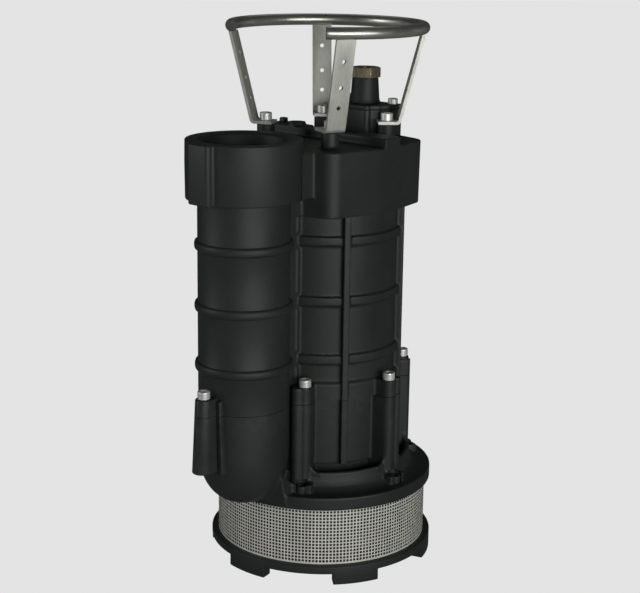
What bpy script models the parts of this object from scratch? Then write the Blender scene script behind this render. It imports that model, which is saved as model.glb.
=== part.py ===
"""Submersible drainage pump with a discharge riser beside its motor, metres, +Z up.

The pump stands on six feet, with its discharge riser on the -Y side. Both sides of the plane
x = 0 are alike, but for the plug boss and the ear on the top cover, which stand on the -X side.
Pieces are laid out round the motor's axis, which stands behind the middle of the whole pump.
An angle is measured round that axis from the discharge side.
"""
import math

import bmesh
import bpy
from mathutils import Matrix, Vector

# Fits and finish
GAP = 0.0003
SINK = 0.002
EDGE = 0.001
DEGREE = math.pi / 180.0
ROUND_STEPS = 48
RISER_STEPS = 40
HEAD_STEPS = 16
HOLE_STEPS = 12

# Base plate, feet and strainer
BASE_RADIUS = 0.152
BASE_BOTTOM = 0.015
BASE_TOP = 0.0255
BASE_CHAMFER = 0.0015
FOOT_DEPTH = 0.0166
FOOT_ANGLE = 24.2 * DEGREE
FOOT_COUNT = 6
SCREEN_RADIUS = 0.143
SCREEN_THICKNESS = 0.0015
SCREEN_TOP = 0.103

# Pump casing
FLANGE_RADIUS = 0.150
FLANGE_BOTTOM = SCREEN_TOP + GAP
SUCTION_RADIUS = 0.118
SUCTION_BOTTOM = 0.0375
FLANGE_TOP = 0.1208
FLANGE_SWEEP = ((0.1208, 0.134), (0.1245, 0.127), (0.1305, 0.1225), (0.138, FLANGE_TOP))
LIP_RADIUS = 0.1195
LIP_INNER_RADIUS = 0.1145
LIP_TOP = 0.145
LIP_ROUND = 0.002
WALL_CHAMFER = 0.0015
TROUGH_FLOOR = 0.131
TROUGH_RADIUS = 0.090
WALL_BOTTOM = 0.1485
WALL_RADIUS = 0.097
PARTING = 0.2385

# Discharge riser and its elbow
RISER_OFFSET = 0.1545
RISER_RADIUS = 0.059
BORE_RADIUS = 0.051
ELBOW_CENTRE = 0.179
ELBOW_DEPTH = 0.0735
ELBOW_FULLNESS = 0.86
RISER_RIB_HEIGHTS = (0.4496, 0.3712, 0.2930)
RISER_RIB_PROUD = 0.004
RISER_RIB_HEIGHT = 0.012
SIDE_RIB_INNER = 0.0106
SIDE_RIB_OUTER = 0.0181
SIDE_RIB_REACH = 0.2165
SIDE_RIB_TOP = 0.2600
SIDE_RIB_BOTTOM = 0.160
SIDE_RIB_LEAN = 0.040

# Discharge collar
COLLAR_RADIUS = 0.0744
COLLAR_BOTTOM = 0.509
COLLAR_TOP = 0.584
COLLAR_PAD_HALF_WIDTH = 0.0185
COLLAR_PAD_REACH = 0.0822
COLLAR_PAD_ROOT = 0.066
COLLAR_PAD_CORNER = 0.0022
COLLAR_FOOT_CHAMFER = 0.0015
MOUTH_RADIUS = 0.055
MOUTH_DEPTH = 0.042
MOUTH_CHAMFER = 0.003

# Motor housing
MOTOR_RADIUS = 0.0975
MOTOR_FLANGE_RADIUS = 0.1015
MOTOR_FLANGE_TOP = 0.261
MOTOR_TOP = 0.484
BAND_PROUD = 0.004
BAND_HEIGHT = 0.0117
BAND_SPANS = ((22.9, 53.6), (61.4, 118.6), (126.4, 175.5))
RIB_ANGLES = (57.5, 122.5, 180.0, 237.5, 302.5)
RIB_OUTER = 0.1065
RIB_WIDTH = 0.0085
WEB_HALF_WIDTH = 0.0375
WEB_ROOT = 0.08
WEB_RIB_ANGLE = 21.2
WEB_RIB_OUTER = 0.1035
WEB_RIB_WIDTH = 0.005

# Bolt bosses and bolts
BOLT_CIRCLE = 0.116
BOLT_ANGLES = (30.0, 90.0, 150.0, 210.0, 270.0, 330.0)
BOSS_RADIUS = 0.0093
RIDGE_PLACES = ((23.5, 0.1135), (98.0, 0.1165), (142.0, 0.1165))
RIDGE_RADIUS = 0.0062
BOSS_ROOT = 0.085
BOLT_RADIUS = 0.005
BOLT_CLEARANCE = 0.0003
HEAD_RADIUS = 0.008
HEAD_HEIGHT = 0.010
SOCKET_ACROSS = 0.008
SOCKET_DEPTH = 0.005
FLANGE_BOLT_REACH = 0.030
LUG_OFFSET = 0.2265
LUG_RADIUS = 0.011
LUG_TOP = 0.261
LUG_DRAFT = 0.022
LUG_LEAN = 0.014
LUG_BOTTOM = 0.163
LUG_ROOT = 0.205

# Strainer bolts, which run down through the strainer into the base plate
STRAINER_BOLT_CIRCLE = 0.130
STRAINER_SEAT = FLANGE_TOP - 0.0008
STRAINER_BOLT_END = BASE_BOTTOM + 0.003
POCKET_RADIUS = 0.0092
POCKET_TOP = 0.135
POCKET_RIM_RADIUS = 0.0125
POCKET_RIM_TOP = 0.132
POCKET_RIM_TURN = 112.0 * DEGREE

# Gussets between the elbow and the flange
GUSSET_FOOT = (0.0596, -0.1376)
GUSSET_TOE = (0.0330, -0.1390)
GUSSET_APEX = (0.0380, -0.1240, 0.1380)
GUSSET_FOOT_DEPTH = 0.03
GUSSET_APEX_DEPTH = 0.02

# Top cover
COVER_SIDE_RADIUS = 0.109
COVER_CORNER_RADIUS = 0.0226
COVER_CORNER_CIRCLE = 0.103
TOP_COVER_TOP = 0.568
BRIDGE_TOP = 0.5798
BRIDGE_FRONT = -0.008
BRIDGE_BACK = 0.026
BRIDGE_WAIST_BACK = 0.008
BRIDGE_WAIST_HALF_WIDTH = 0.045
NECK_HALF_WIDTH = 0.0655
NECK_FLARE = 0.006
NECK_ROOT = 0.090
NECK_FLARE_START = 0.0945
NECK_FRONT = 0.124
LOW_NECK_HALF_WIDTH = 0.049
LOW_NECK_TOP = 0.505
PLUG_BOSS_PLACE = (-0.057, 0.0045)
PLUG_BOSS_RADIUS = 0.0124
PLUG_BOSS_TOP = 0.585
NUB_PLACE = (-0.090, 0.014)
NUB_SIZE = 0.009
NUB_TOP = 0.5865

# Cable entry
ENTRY_HALF_WIDTH = 0.048
ENTRY_BACK = 0.1010
ENTRY_NOSE_HALF_WIDTH = 0.033
ENTRY_NOSE_FRONT = 0.043
ENTRY_NOSE_BACK = 0.051
ENTRY_SHOULDER = 0.068
ENTRY_CORNER = 0.006
LID_BOTTOM = 0.6045
LID_TOP = 0.610
ENTRY_SCREW_PLACE = (0.0385, 0.0905)
ENTRY_SCREW_RADIUS = 0.004
ENTRY_SCREW_HEAD_RADIUS = 0.0065
ENTRY_SCREW_HEAD_HEIGHT = 0.0075
ENTRY_SCREW_REACH = 0.020
GLAND_OFFSET = 0.078
GLAND_RADIUS = 0.0195
GLAND_TAPER = 0.002
GLAND_FOOT_HEIGHT = 0.006
GLAND_TOP = 0.644
NUT_ACROSS = 0.036
NUT_TOP = 0.6575
CABLE_WAY_RADIUS = 0.009
CABLE_WAY_DEPTH = 0.010

# Handle
POST_CIRCLE = 0.0797
POST_RADIUS = 0.0116
POST_TOP = 0.5883
POST_STEPS = 24
STRAP_THICKNESS = 0.004
STRAP_WIDTH = 0.026
STRAP_FRONT_HEEL = 0.020
STRAP_REAR_HEEL = 0.012
STRAP_TOE = 0.017
STRAP_HOLE_HEIGHTS = (0.680, 0.647, 0.621)
STRAP_HOLE_RADIUS = 0.00275
STRAP_HOLE_SPAN = 0.05
RING_RADIUS = 0.1250
RING_BAR_RADIUS = 0.00775
RING_HEIGHT = 0.7153
RING_GAP = 40.5 * DEGREE
HANDLE_BOLT_REACH = 0.014

# The motor's axis stands so that the whole pump is centred on the world's Z axis
LUG_SPREAD = (LUG_OFFSET + LUG_RADIUS - LUG_ROOT) / (LUG_OFFSET - LUG_ROOT)
LUG_REACH = LUG_OFFSET + LUG_RADIUS + (LUG_TOP - LUG_BOTTOM) * (LUG_LEAN + LUG_DRAFT) * LUG_SPREAD
AXIS_Y = (LUG_REACH - BASE_RADIUS) / 2.0


def clear_scene():
    for thing in list(bpy.data.objects):
        bpy.data.objects.remove(thing)


def make_collection(name):
    collection = bpy.data.collections.new(name)
    bpy.context.scene.collection.children.link(collection)
    return collection


def make_material(name, colour, roughness, metallic):
    material = bpy.data.materials.new(name)
    material.use_nodes = True
    shader = material.node_tree.nodes["Principled BSDF"]
    shader.inputs["Base Color"].default_value = (*colour, 1.0)
    shader.inputs["Roughness"].default_value = roughness
    shader.inputs["Metallic"].default_value = metallic
    return material


clear_scene()
PARTS = make_collection("submersible_pump")
CUTTERS = make_collection("cutters")
AXIS = bpy.data.objects.new("motor_axis", None)
AXIS.location = (0.0, AXIS_Y, 0.0)
PARTS.objects.link(AXIS)
BLACK = make_material("black_cast_iron", (0.012, 0.013, 0.013), 0.45, 0.0)
STAINLESS = make_material("stainless_steel", (0.55, 0.55, 0.53), 0.3, 1.0)
BRASS = make_material("brass", (0.60, 0.48, 0.30), 0.3, 1.0)


def around(angle, radius, height=0.0):
    """The point at this angle and distance from the motor's axis."""
    return Vector((radius * math.sin(angle), -radius * math.cos(angle), height))


def add_piece(name, mesh, material, location=(0.0, 0.0, 0.0), turn=0.0):
    piece = bpy.data.objects.new(name, mesh)
    piece.parent = AXIS
    piece.location = location
    piece.rotation_euler = (0.0, 0.0, turn)
    mesh.materials.append(material)
    mesh.shade_smooth()
    mesh.set_sharp_from_angle(angle=30.0 * DEGREE)
    PARTS.objects.link(piece)
    return piece


def as_helper(piece):
    """Moves an object to the cutters: it shapes other pieces and is not one itself."""
    PARTS.objects.unlink(piece)
    CUTTERS.objects.link(piece)
    piece.hide_render = True
    piece.display_type = "WIRE"
    return piece


def mesh_from(shape, name):
    mesh = bpy.data.meshes.new(name)
    shape.to_mesh(mesh)
    shape.free()
    return mesh


def combine(piece, helper, operation):
    step = piece.modifiers.new(operation.lower(), "BOOLEAN")
    step.operation = operation
    step.solver = "EXACT"
    step.object = helper


def turned(name, profile, material, segments, closed=False, location=(0.0, 0.0, 0.0)):
    """A turned solid: the profile runs down its outer side, as (radius, height) points."""
    mesh = bpy.data.meshes.new(name)
    count = len(profile)
    edges = [(i, i + 1) for i in range(count - 1)]
    if closed:
        edges.append((count - 1, 0))
    mesh.from_pydata([(radius, 0.0, height) for radius, height in profile], edges, [])
    piece = add_piece(name, mesh, material, location)
    screw = piece.modifiers.new("turn", "SCREW")
    screw.steps = segments
    screw.render_steps = segments
    screw.use_merge_vertices = True
    screw.merge_threshold = 0.00001
    return piece


def cylinder_mesh(name, radius, bottom, top, segments, place=(0.0, 0.0, 0.0)):
    shape = bmesh.new()
    middle = Matrix.Translation((0.0, 0.0, (bottom + top) / 2.0))
    bmesh.ops.create_cone(shape, cap_ends=True, segments=segments, radius1=radius,
                          radius2=radius, depth=top - bottom, matrix=Matrix.Translation(place) @ middle)
    return mesh_from(shape, name)


def hexagon_radius(across_flats):
    return across_flats / 2.0 / math.cos(math.pi / 6.0)


def box_mesh(name, low, high):
    shape = bmesh.new()
    size = [high[i] - low[i] for i in range(3)]
    middle = [(high[i] + low[i]) / 2.0 for i in range(3)]
    bmesh.ops.create_cube(shape, size=1.0, matrix=Matrix.Translation(middle) @ Matrix.Diagonal((*size, 1.0)))
    return mesh_from(shape, name)


def sector_mesh(name, inner, outer, bottom, top, middle_angle, width_angle, steps):
    """A block bent round the motor's axis: a rectangle spun through width_angle."""
    shape = bmesh.new()
    start = middle_angle - width_angle / 2.0
    corners = [around(start, radius, height)
               for radius, height in ((inner, bottom), (outer, bottom), (outer, top), (inner, top))]
    face = shape.faces.new([shape.verts.new(corner) for corner in corners])
    bmesh.ops.spin(shape, geom=[face] + list(face.edges) + list(face.verts), cent=(0.0, 0.0, 0.0),
                   axis=(0.0, 0.0, 1.0), angle=width_angle, steps=steps)
    bmesh.ops.recalc_face_normals(shape, faces=shape.faces)
    return mesh_from(shape, name)


def outline_mesh(name, points, low, high):
    """A flat outline with thickness: it lies in the plane z = 0 and reaches from low to high."""
    curve = bpy.data.curves.new(name, "CURVE")
    curve.dimensions = "2D"
    curve.fill_mode = "BOTH"
    curve.extrude = (high - low) / 2.0
    spline = curve.splines.new("POLY")
    spline.use_cyclic_u = True
    spline.points.add(len(points) - 1)
    for index, (x, y) in enumerate(points):
        spline.points[index].co = (x, y, 0.0, 1.0)
    outline = bpy.data.objects.new(name, curve)
    CUTTERS.objects.link(outline)
    evaluated = outline.evaluated_get(bpy.context.evaluated_depsgraph_get())
    shape = bmesh.new()
    shape.from_mesh(bpy.data.meshes.new_from_object(evaluated))
    bpy.data.objects.remove(outline)
    bmesh.ops.remove_doubles(shape, verts=shape.verts, dist=0.00001)
    bmesh.ops.translate(shape, verts=shape.verts, vec=(0.0, 0.0, (low + high) / 2.0))
    return mesh_from(shape, name)


def arc_points(centre, radius, start, end, steps):
    """Points on an arc round centre, with start and end measured from the +X direction."""
    turns = [start + (end - start) * index / steps for index in range(steps + 1)]
    return [(centre[0] + radius * math.cos(turn), centre[1] + radius * math.sin(turn)) for turn in turns]


def mirrored(side):
    """A whole outline from the points of its +X half."""
    return side + [(-x, y) for x, y in reversed(side)]


def join_meshes(name, meshes):
    """One mesh that holds several shapes, for a single union or cut."""
    shape = bmesh.new()
    for mesh in meshes:
        shape.from_mesh(mesh)
        bpy.data.meshes.remove(mesh)
    return mesh_from(shape, name)


def moved(mesh, matrix):
    mesh.transform(matrix)
    return mesh


def union_with(piece, name, meshes):
    helper = as_helper(add_piece(name, join_meshes(name, meshes), BLACK))
    combine(piece, helper, "UNION")


def cut_with(piece, name, meshes):
    helper = as_helper(add_piece(name, join_meshes(name, meshes), BLACK))
    combine(piece, helper, "DIFFERENCE")


def bolt_hole_mesh(angle, circle, bottom, top):
    return cylinder_mesh("hole", BOLT_RADIUS + BOLT_CLEARANCE, bottom, top, HOLE_STEPS, around(angle, circle))


def bolt_angles():
    return [angle * DEGREE for angle in BOLT_ANGLES]


def make_base_plate():
    profile = [(0.0, BASE_TOP), (BASE_RADIUS - BASE_CHAMFER, BASE_TOP),
               (BASE_RADIUS, BASE_TOP - BASE_CHAMFER), (BASE_RADIUS, BASE_BOTTOM + BASE_CHAMFER),
               (BASE_RADIUS - BASE_CHAMFER, BASE_BOTTOM), (0.0, BASE_BOTTOM)]
    plate = turned("base_plate", profile, BLACK, 72)
    feet = [sector_mesh("foot", BASE_RADIUS - FOOT_DEPTH, BASE_RADIUS, 0.0, BASE_BOTTOM + SINK,
                        index * 2.0 * math.pi / FOOT_COUNT, FOOT_ANGLE, 4)
            for index in range(FOOT_COUNT)]
    union_with(plate, "feet", feet)
    holes = [bolt_hole_mesh(angle, STRAINER_BOLT_CIRCLE, STRAINER_BOLT_END - BOLT_CLEARANCE, BASE_TOP + SINK)
             for angle in bolt_angles()]
    cut_with(plate, "base_holes", holes)


def make_strainer_screen():
    profile = [(SCREEN_RADIUS, SCREEN_TOP), (SCREEN_RADIUS, BASE_TOP + GAP)]
    screen = turned("strainer_screen", profile, STAINLESS, 64)
    wall = screen.modifiers.new("wall", "SOLIDIFY")
    wall.thickness = SCREEN_THICKNESS
    wall.offset = -1.0


def boss_mesh(name, angle, circle, radius, root, bottom, top):
    """A round boss with two straight cheeks that run in to the wall behind it."""
    outline = [(radius, -root), (-radius, -root)]
    outline += arc_points((0.0, -circle), radius, math.pi, 2.0 * math.pi, 6)
    return moved(outline_mesh(name, outline, bottom, top), Matrix.Rotation(angle, 4, "Z"))


def bosses_between(bottom, top):
    """The six bolt bosses, and the lower ridge that each has on one flank."""
    bosses = [boss_mesh("boss", angle, BOLT_CIRCLE, BOSS_RADIUS, BOSS_ROOT, bottom, top)
              for angle in bolt_angles()]
    ridges = [boss_mesh("ridge", side * angle * DEGREE, circle, RIDGE_RADIUS, BOSS_ROOT, bottom, top)
              for angle, circle in RIDGE_PLACES for side in (1.0, -1.0)]
    return bosses, ridges


def rib_mesh(angle, outer, width, bottom, top):
    """An upright rib on the round wall."""
    rib = box_mesh("rib", (-width / 2.0, -outer, bottom), (width / 2.0, -TROUGH_RADIUS, top))
    return moved(rib, Matrix.Rotation(angle, 4, "Z"))


def wall_ribs(bottom, top):
    return [rib_mesh(angle * DEGREE, RIB_OUTER, RIB_WIDTH, bottom, top) for angle in RIB_ANGLES]


def lug_mesh(root, bottom, top):
    """The bolt lug on the elbow's outer side, a little wider and further out towards its foot."""
    lug = boss_mesh("lug", 0.0, LUG_OFFSET, LUG_RADIUS, root, bottom, top)
    for vertex in lug.vertices:
        x, y, height = vertex.co
        drop = LUG_TOP - height
        wider = 1.0 + drop * LUG_DRAFT / LUG_RADIUS
        outer = min(y + root, 0.0) / (LUG_OFFSET - root)
        vertex.co.x = x * wider
        vertex.co.y = y + drop * (LUG_LEAN + LUG_DRAFT) * outer
    return lug


def side_rib_mesh(side, bottom, top):
    """An upright rib beside the discharge lug, which leans away from the lug towards its foot."""
    low, high = sorted((side * SIDE_RIB_INNER, side * SIDE_RIB_OUTER))
    rib = box_mesh("side_rib", (low, -SIDE_RIB_REACH, bottom), (high, -LUG_ROOT, top))
    for vertex in rib.vertices:
        vertex.co.x += side * (LUG_TOP - vertex.co.z) * SIDE_RIB_LEAN
    return rib


def side_rib_meshes(bottom, top):
    return [side_rib_mesh(side, bottom, top) for side in (1.0, -1.0)]


def gusset_mesh(side):
    """A wedge from the end of the round flange up to the elbow."""
    shape = bmesh.new()
    root = GUSSET_FOOT[1] + GUSSET_FOOT_DEPTH
    for x, y in (GUSSET_FOOT, GUSSET_TOE, (GUSSET_TOE[0], root), (GUSSET_FOOT[0], root)):
        for height in (FLANGE_BOTTOM, FLANGE_TOP - SINK / 4.0):
            shape.verts.new((side * x, y, height))
    apex_x, apex_y, apex_height = GUSSET_APEX
    shape.verts.new((side * apex_x, apex_y, apex_height))
    shape.verts.new((side * apex_x, apex_y + GUSSET_APEX_DEPTH, apex_height))
    bmesh.ops.convex_hull(shape, input=shape.verts)
    bmesh.ops.recalc_face_normals(shape, faces=shape.faces)
    return mesh_from(shape, "gusset")


def pocket_rim_mesh(angle):
    """A rim round a strainer bolt's head, open on its outer side."""
    inward = math.pi / 2.0
    rim = outline_mesh("rim", arc_points((0.0, 0.0), POCKET_RIM_RADIUS, inward - POCKET_RIM_TURN,
                                         inward + POCKET_RIM_TURN, 9), FLANGE_TOP - SINK, POCKET_RIM_TOP)
    moved(rim, Matrix.Translation((0.0, -STRAINER_BOLT_CIRCLE, 0.0)))
    return moved(rim, Matrix.Rotation(angle, 4, "Z"))


def make_pump_casing():
    profile = [(0.0, PARTING), (WALL_RADIUS, PARTING), (WALL_RADIUS, WALL_BOTTOM + WALL_CHAMFER),
               (WALL_RADIUS - WALL_CHAMFER, WALL_BOTTOM), (TROUGH_RADIUS, WALL_BOTTOM),
               (TROUGH_RADIUS, TROUGH_FLOOR), (LIP_INNER_RADIUS, TROUGH_FLOOR),
               (LIP_INNER_RADIUS, LIP_TOP - WALL_CHAMFER), (LIP_INNER_RADIUS + WALL_CHAMFER, LIP_TOP),
               (LIP_RADIUS - LIP_ROUND, LIP_TOP), (LIP_RADIUS, LIP_TOP - LIP_ROUND), *FLANGE_SWEEP,
               (FLANGE_RADIUS - EDGE, FLANGE_TOP), (FLANGE_RADIUS, FLANGE_TOP - EDGE),
               (FLANGE_RADIUS, FLANGE_BOTTOM + EDGE), (FLANGE_RADIUS - EDGE, FLANGE_BOTTOM),
               (SUCTION_RADIUS, FLANGE_BOTTOM), (SUCTION_RADIUS, SUCTION_BOTTOM + EDGE),
               (SUCTION_RADIUS - EDGE, SUCTION_BOTTOM), (0.0, SUCTION_BOTTOM)]
    casing = turned("pump_casing", profile, BLACK, ROUND_STEPS)
    bosses, ridges = bosses_between(FLANGE_TOP - SINK, PARTING)
    union_with(casing, "casing_bosses", bosses)
    union_with(casing, "casing_ridges", ridges)
    union_with(casing, "casing_ribs", wall_ribs(WALL_BOTTOM, PARTING))
    elbow_profile = [(0.0, PARTING), (RISER_RADIUS, PARTING)]
    steps = 7
    for index in range(steps):
        turn = index * math.pi / 2.0 / steps
        elbow_profile.append((RISER_RADIUS * math.cos(turn) ** ELBOW_FULLNESS,
                              ELBOW_CENTRE - ELBOW_DEPTH * math.sin(turn) ** ELBOW_FULLNESS))
    elbow_profile.append((0.0, ELBOW_CENTRE - ELBOW_DEPTH))
    elbow = as_helper(turned("elbow", elbow_profile, BLACK, RISER_STEPS, location=(0.0, -RISER_OFFSET, 0.0)))
    combine(casing, elbow, "UNION")
    web = box_mesh("web", (-WEB_HALF_WIDTH, -RISER_OFFSET, FLANGE_TOP - SINK),
                   (WEB_HALF_WIDTH, -WEB_ROOT, PARTING))
    union_with(casing, "casing_web", [web])
    union_with(casing, "casing_lug", [lug_mesh(LUG_ROOT, LUG_BOTTOM, PARTING)])
    union_with(casing, "casing_side_ribs", side_rib_meshes(SIDE_RIB_BOTTOM, PARTING))
    union_with(casing, "gussets", [gusset_mesh(1.0), gusset_mesh(-1.0)])
    union_with(casing, "pocket_rims", [pocket_rim_mesh(angle) for angle in bolt_angles()])
    pockets = [cylinder_mesh("pocket", POCKET_RADIUS, STRAINER_SEAT, POCKET_TOP, HEAD_STEPS,
                             around(angle, STRAINER_BOLT_CIRCLE)) for angle in bolt_angles()]
    cut_with(casing, "pockets", pockets)
    bottom = MOTOR_FLANGE_TOP + GAP - FLANGE_BOLT_REACH - BOLT_CLEARANCE
    holes = [bolt_hole_mesh(angle, BOLT_CIRCLE, bottom, PARTING + SINK) for angle in bolt_angles()]
    holes.append(bolt_hole_mesh(0.0, LUG_OFFSET, bottom, PARTING + SINK))
    holes += [bolt_hole_mesh(angle, STRAINER_BOLT_CIRCLE, FLANGE_BOTTOM - SINK, FLANGE_TOP)
              for angle in bolt_angles()]
    cut_with(casing, "casing_holes", holes)


def band_meshes():
    bands = []
    for height in RISER_RIB_HEIGHTS:
        for first, last in BAND_SPANS:
            for side in (1.0, -1.0):
                bands.append(sector_mesh("band", MOTOR_RADIUS - SINK, MOTOR_RADIUS + BAND_PROUD,
                                         height - BAND_HEIGHT / 2.0, height + BAND_HEIGHT / 2.0,
                                         side * (first + last) / 2.0 * DEGREE, (last - first) * DEGREE,
                                         round((last - first) / 6.0)))
    return bands


def web_rib_meshes(bottom):
    """The beads at the web's corners, which stop short of each band."""
    ends = [MOTOR_TOP - SINK]
    for height in RISER_RIB_HEIGHTS:
        ends += [height + BAND_HEIGHT, height - BAND_HEIGHT]
    ends.append(bottom)
    return [rib_mesh(side * WEB_RIB_ANGLE * DEGREE, WEB_RIB_OUTER, WEB_RIB_WIDTH, low, high)
            for high, low in zip(ends[0::2], ends[1::2]) for side in (1.0, -1.0)]


def make_motor_housing():
    bottom = PARTING + GAP
    profile = [(0.0, MOTOR_TOP), (MOTOR_RADIUS, MOTOR_TOP), (MOTOR_RADIUS, MOTOR_FLANGE_TOP + EDGE),
               (MOTOR_FLANGE_RADIUS, MOTOR_FLANGE_TOP - EDGE), (MOTOR_FLANGE_RADIUS, bottom), (0.0, bottom)]
    housing = turned("motor_housing", profile, BLACK, ROUND_STEPS)
    bosses, ridges = bosses_between(bottom, MOTOR_FLANGE_TOP)
    union_with(housing, "housing_bosses", bosses)
    union_with(housing, "housing_ridges", ridges)
    union_with(housing, "housing_ribs", wall_ribs(bottom + SINK, MOTOR_TOP - SINK))
    union_with(housing, "housing_bands", band_meshes())
    web = box_mesh("web", (-WEB_HALF_WIDTH, -RISER_OFFSET, bottom + SINK),
                   (WEB_HALF_WIDTH, -WEB_ROOT, MOTOR_TOP - SINK))
    union_with(housing, "housing_web", [web])
    union_with(housing, "housing_web_ribs", web_rib_meshes(MOTOR_FLANGE_TOP - SINK))
    clearance = as_helper(turned("riser_clearance", riser_outline(GAP), BLACK, RISER_STEPS,
                                 location=(0.0, -RISER_OFFSET, 0.0)))
    combine(housing, clearance, "DIFFERENCE")
    holes = [bolt_hole_mesh(angle, BOLT_CIRCLE, bottom - SINK, MOTOR_FLANGE_TOP + SINK)
             for angle in bolt_angles()]
    cut_with(housing, "housing_holes", holes)
    return clearance


def riser_outline(clearance):
    """The riser's outer profile, top to bottom, closed on its own axis."""
    low = PARTING - SINK if clearance else PARTING + GAP
    high = COLLAR_BOTTOM + SINK if clearance else COLLAR_BOTTOM
    radius = RISER_RADIUS + clearance
    points = [(0.0, high), (radius, high)]
    for height in RISER_RIB_HEIGHTS:
        points += riser_rib_points(height, radius)
    points += [(radius, low), (0.0, low)]
    return points


def riser_rib_points(height, radius):
    """A half-round rib on the riser, top to bottom."""
    half = RISER_RIB_HEIGHT / 2.0
    steps = 4
    return [(radius + RISER_RIB_PROUD * math.sin(index * math.pi / steps),
             height + half * math.cos(index * math.pi / steps)) for index in range(steps + 1)]


def make_discharge_riser():
    outline = riser_outline(0.0)[1:-1]
    bottom = PARTING + GAP
    profile = outline + [(BORE_RADIUS, bottom), (BORE_RADIUS, COLLAR_BOTTOM)]
    riser = turned("discharge_riser", profile, BLACK, RISER_STEPS, closed=True,
                   location=(0.0, -RISER_OFFSET, 0.0))
    union_with(riser, "riser_lug", [lug_mesh(LUG_ROOT + SINK, bottom, LUG_TOP)])
    union_with(riser, "riser_side_ribs", side_rib_meshes(bottom, SIDE_RIB_TOP))
    cut_with(riser, "riser_hole", [bolt_hole_mesh(0.0, LUG_OFFSET, bottom - SINK, MOTOR_FLANGE_TOP + SINK)])


def make_discharge_collar():
    bottom = COLLAR_BOTTOM + GAP
    profile = [(COLLAR_RADIUS - EDGE, COLLAR_TOP), (COLLAR_RADIUS, COLLAR_TOP - EDGE),
               (COLLAR_RADIUS, bottom + COLLAR_FOOT_CHAMFER), (COLLAR_RADIUS - COLLAR_FOOT_CHAMFER, bottom),
               (BORE_RADIUS, bottom), (BORE_RADIUS, COLLAR_TOP - MOUTH_DEPTH),
               (MOUTH_RADIUS, COLLAR_TOP - MOUTH_DEPTH), (MOUTH_RADIUS, COLLAR_TOP - MOUTH_CHAMFER),
               (MOUTH_RADIUS + MOUTH_CHAMFER, COLLAR_TOP)]
    collar = turned("discharge_collar", profile, BLACK, RISER_STEPS, closed=True,
                    location=(0.0, -RISER_OFFSET, 0.0))
    front = -RISER_OFFSET - COLLAR_PAD_REACH
    side = [(COLLAR_PAD_HALF_WIDTH, -RISER_OFFSET - COLLAR_PAD_ROOT),
            (COLLAR_PAD_HALF_WIDTH, front + COLLAR_PAD_CORNER),
            (COLLAR_PAD_HALF_WIDTH - COLLAR_PAD_CORNER, front)]
    union_with(collar, "collar_pad", [outline_mesh("pad", mirrored(side), bottom, COLLAR_TOP)])


def handle_posts():
    """The handle's four posts: each one's name, its angle, and the angle that its strap leans to."""
    return (("front_left", -45.0, -64.5), ("front_right", 45.0, 64.5),
            ("rear_left", -135.0, -135.0), ("rear_right", 135.0, 135.0))


def cover_outline():
    """Four rounded corners joined by straight flanks to four shallow round sides."""
    tangent = math.pi / 4.0 - math.acos((COVER_SIDE_RADIUS - COVER_CORNER_RADIUS) / COVER_CORNER_CIRCLE)
    points = []
    for quarter in range(4):
        middle = quarter * math.pi / 2.0
        points += arc_points((0.0, 0.0), COVER_SIDE_RADIUS, middle - tangent, middle + tangent, 3)
        corner = middle + math.pi / 4.0
        centre = (COVER_CORNER_CIRCLE * math.cos(corner), COVER_CORNER_CIRCLE * math.sin(corner))
        points += arc_points(centre, COVER_CORNER_RADIUS, middle + tangent,
                             middle + math.pi / 2.0 - tangent, 6)[1:-1]
    return points


def neck_mesh(name, half_width, bottom, top):
    """The flared block between the round riser or collar and the cover's front."""
    side = [(half_width + NECK_FLARE, -NECK_ROOT)]
    side += arc_points((half_width + NECK_FLARE, -NECK_FLARE_START - NECK_FLARE), NECK_FLARE,
                       math.pi / 2.0, math.pi, 3)
    side.append((half_width, -NECK_FRONT))
    return outline_mesh(name, mirrored(side), bottom, top)


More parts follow.
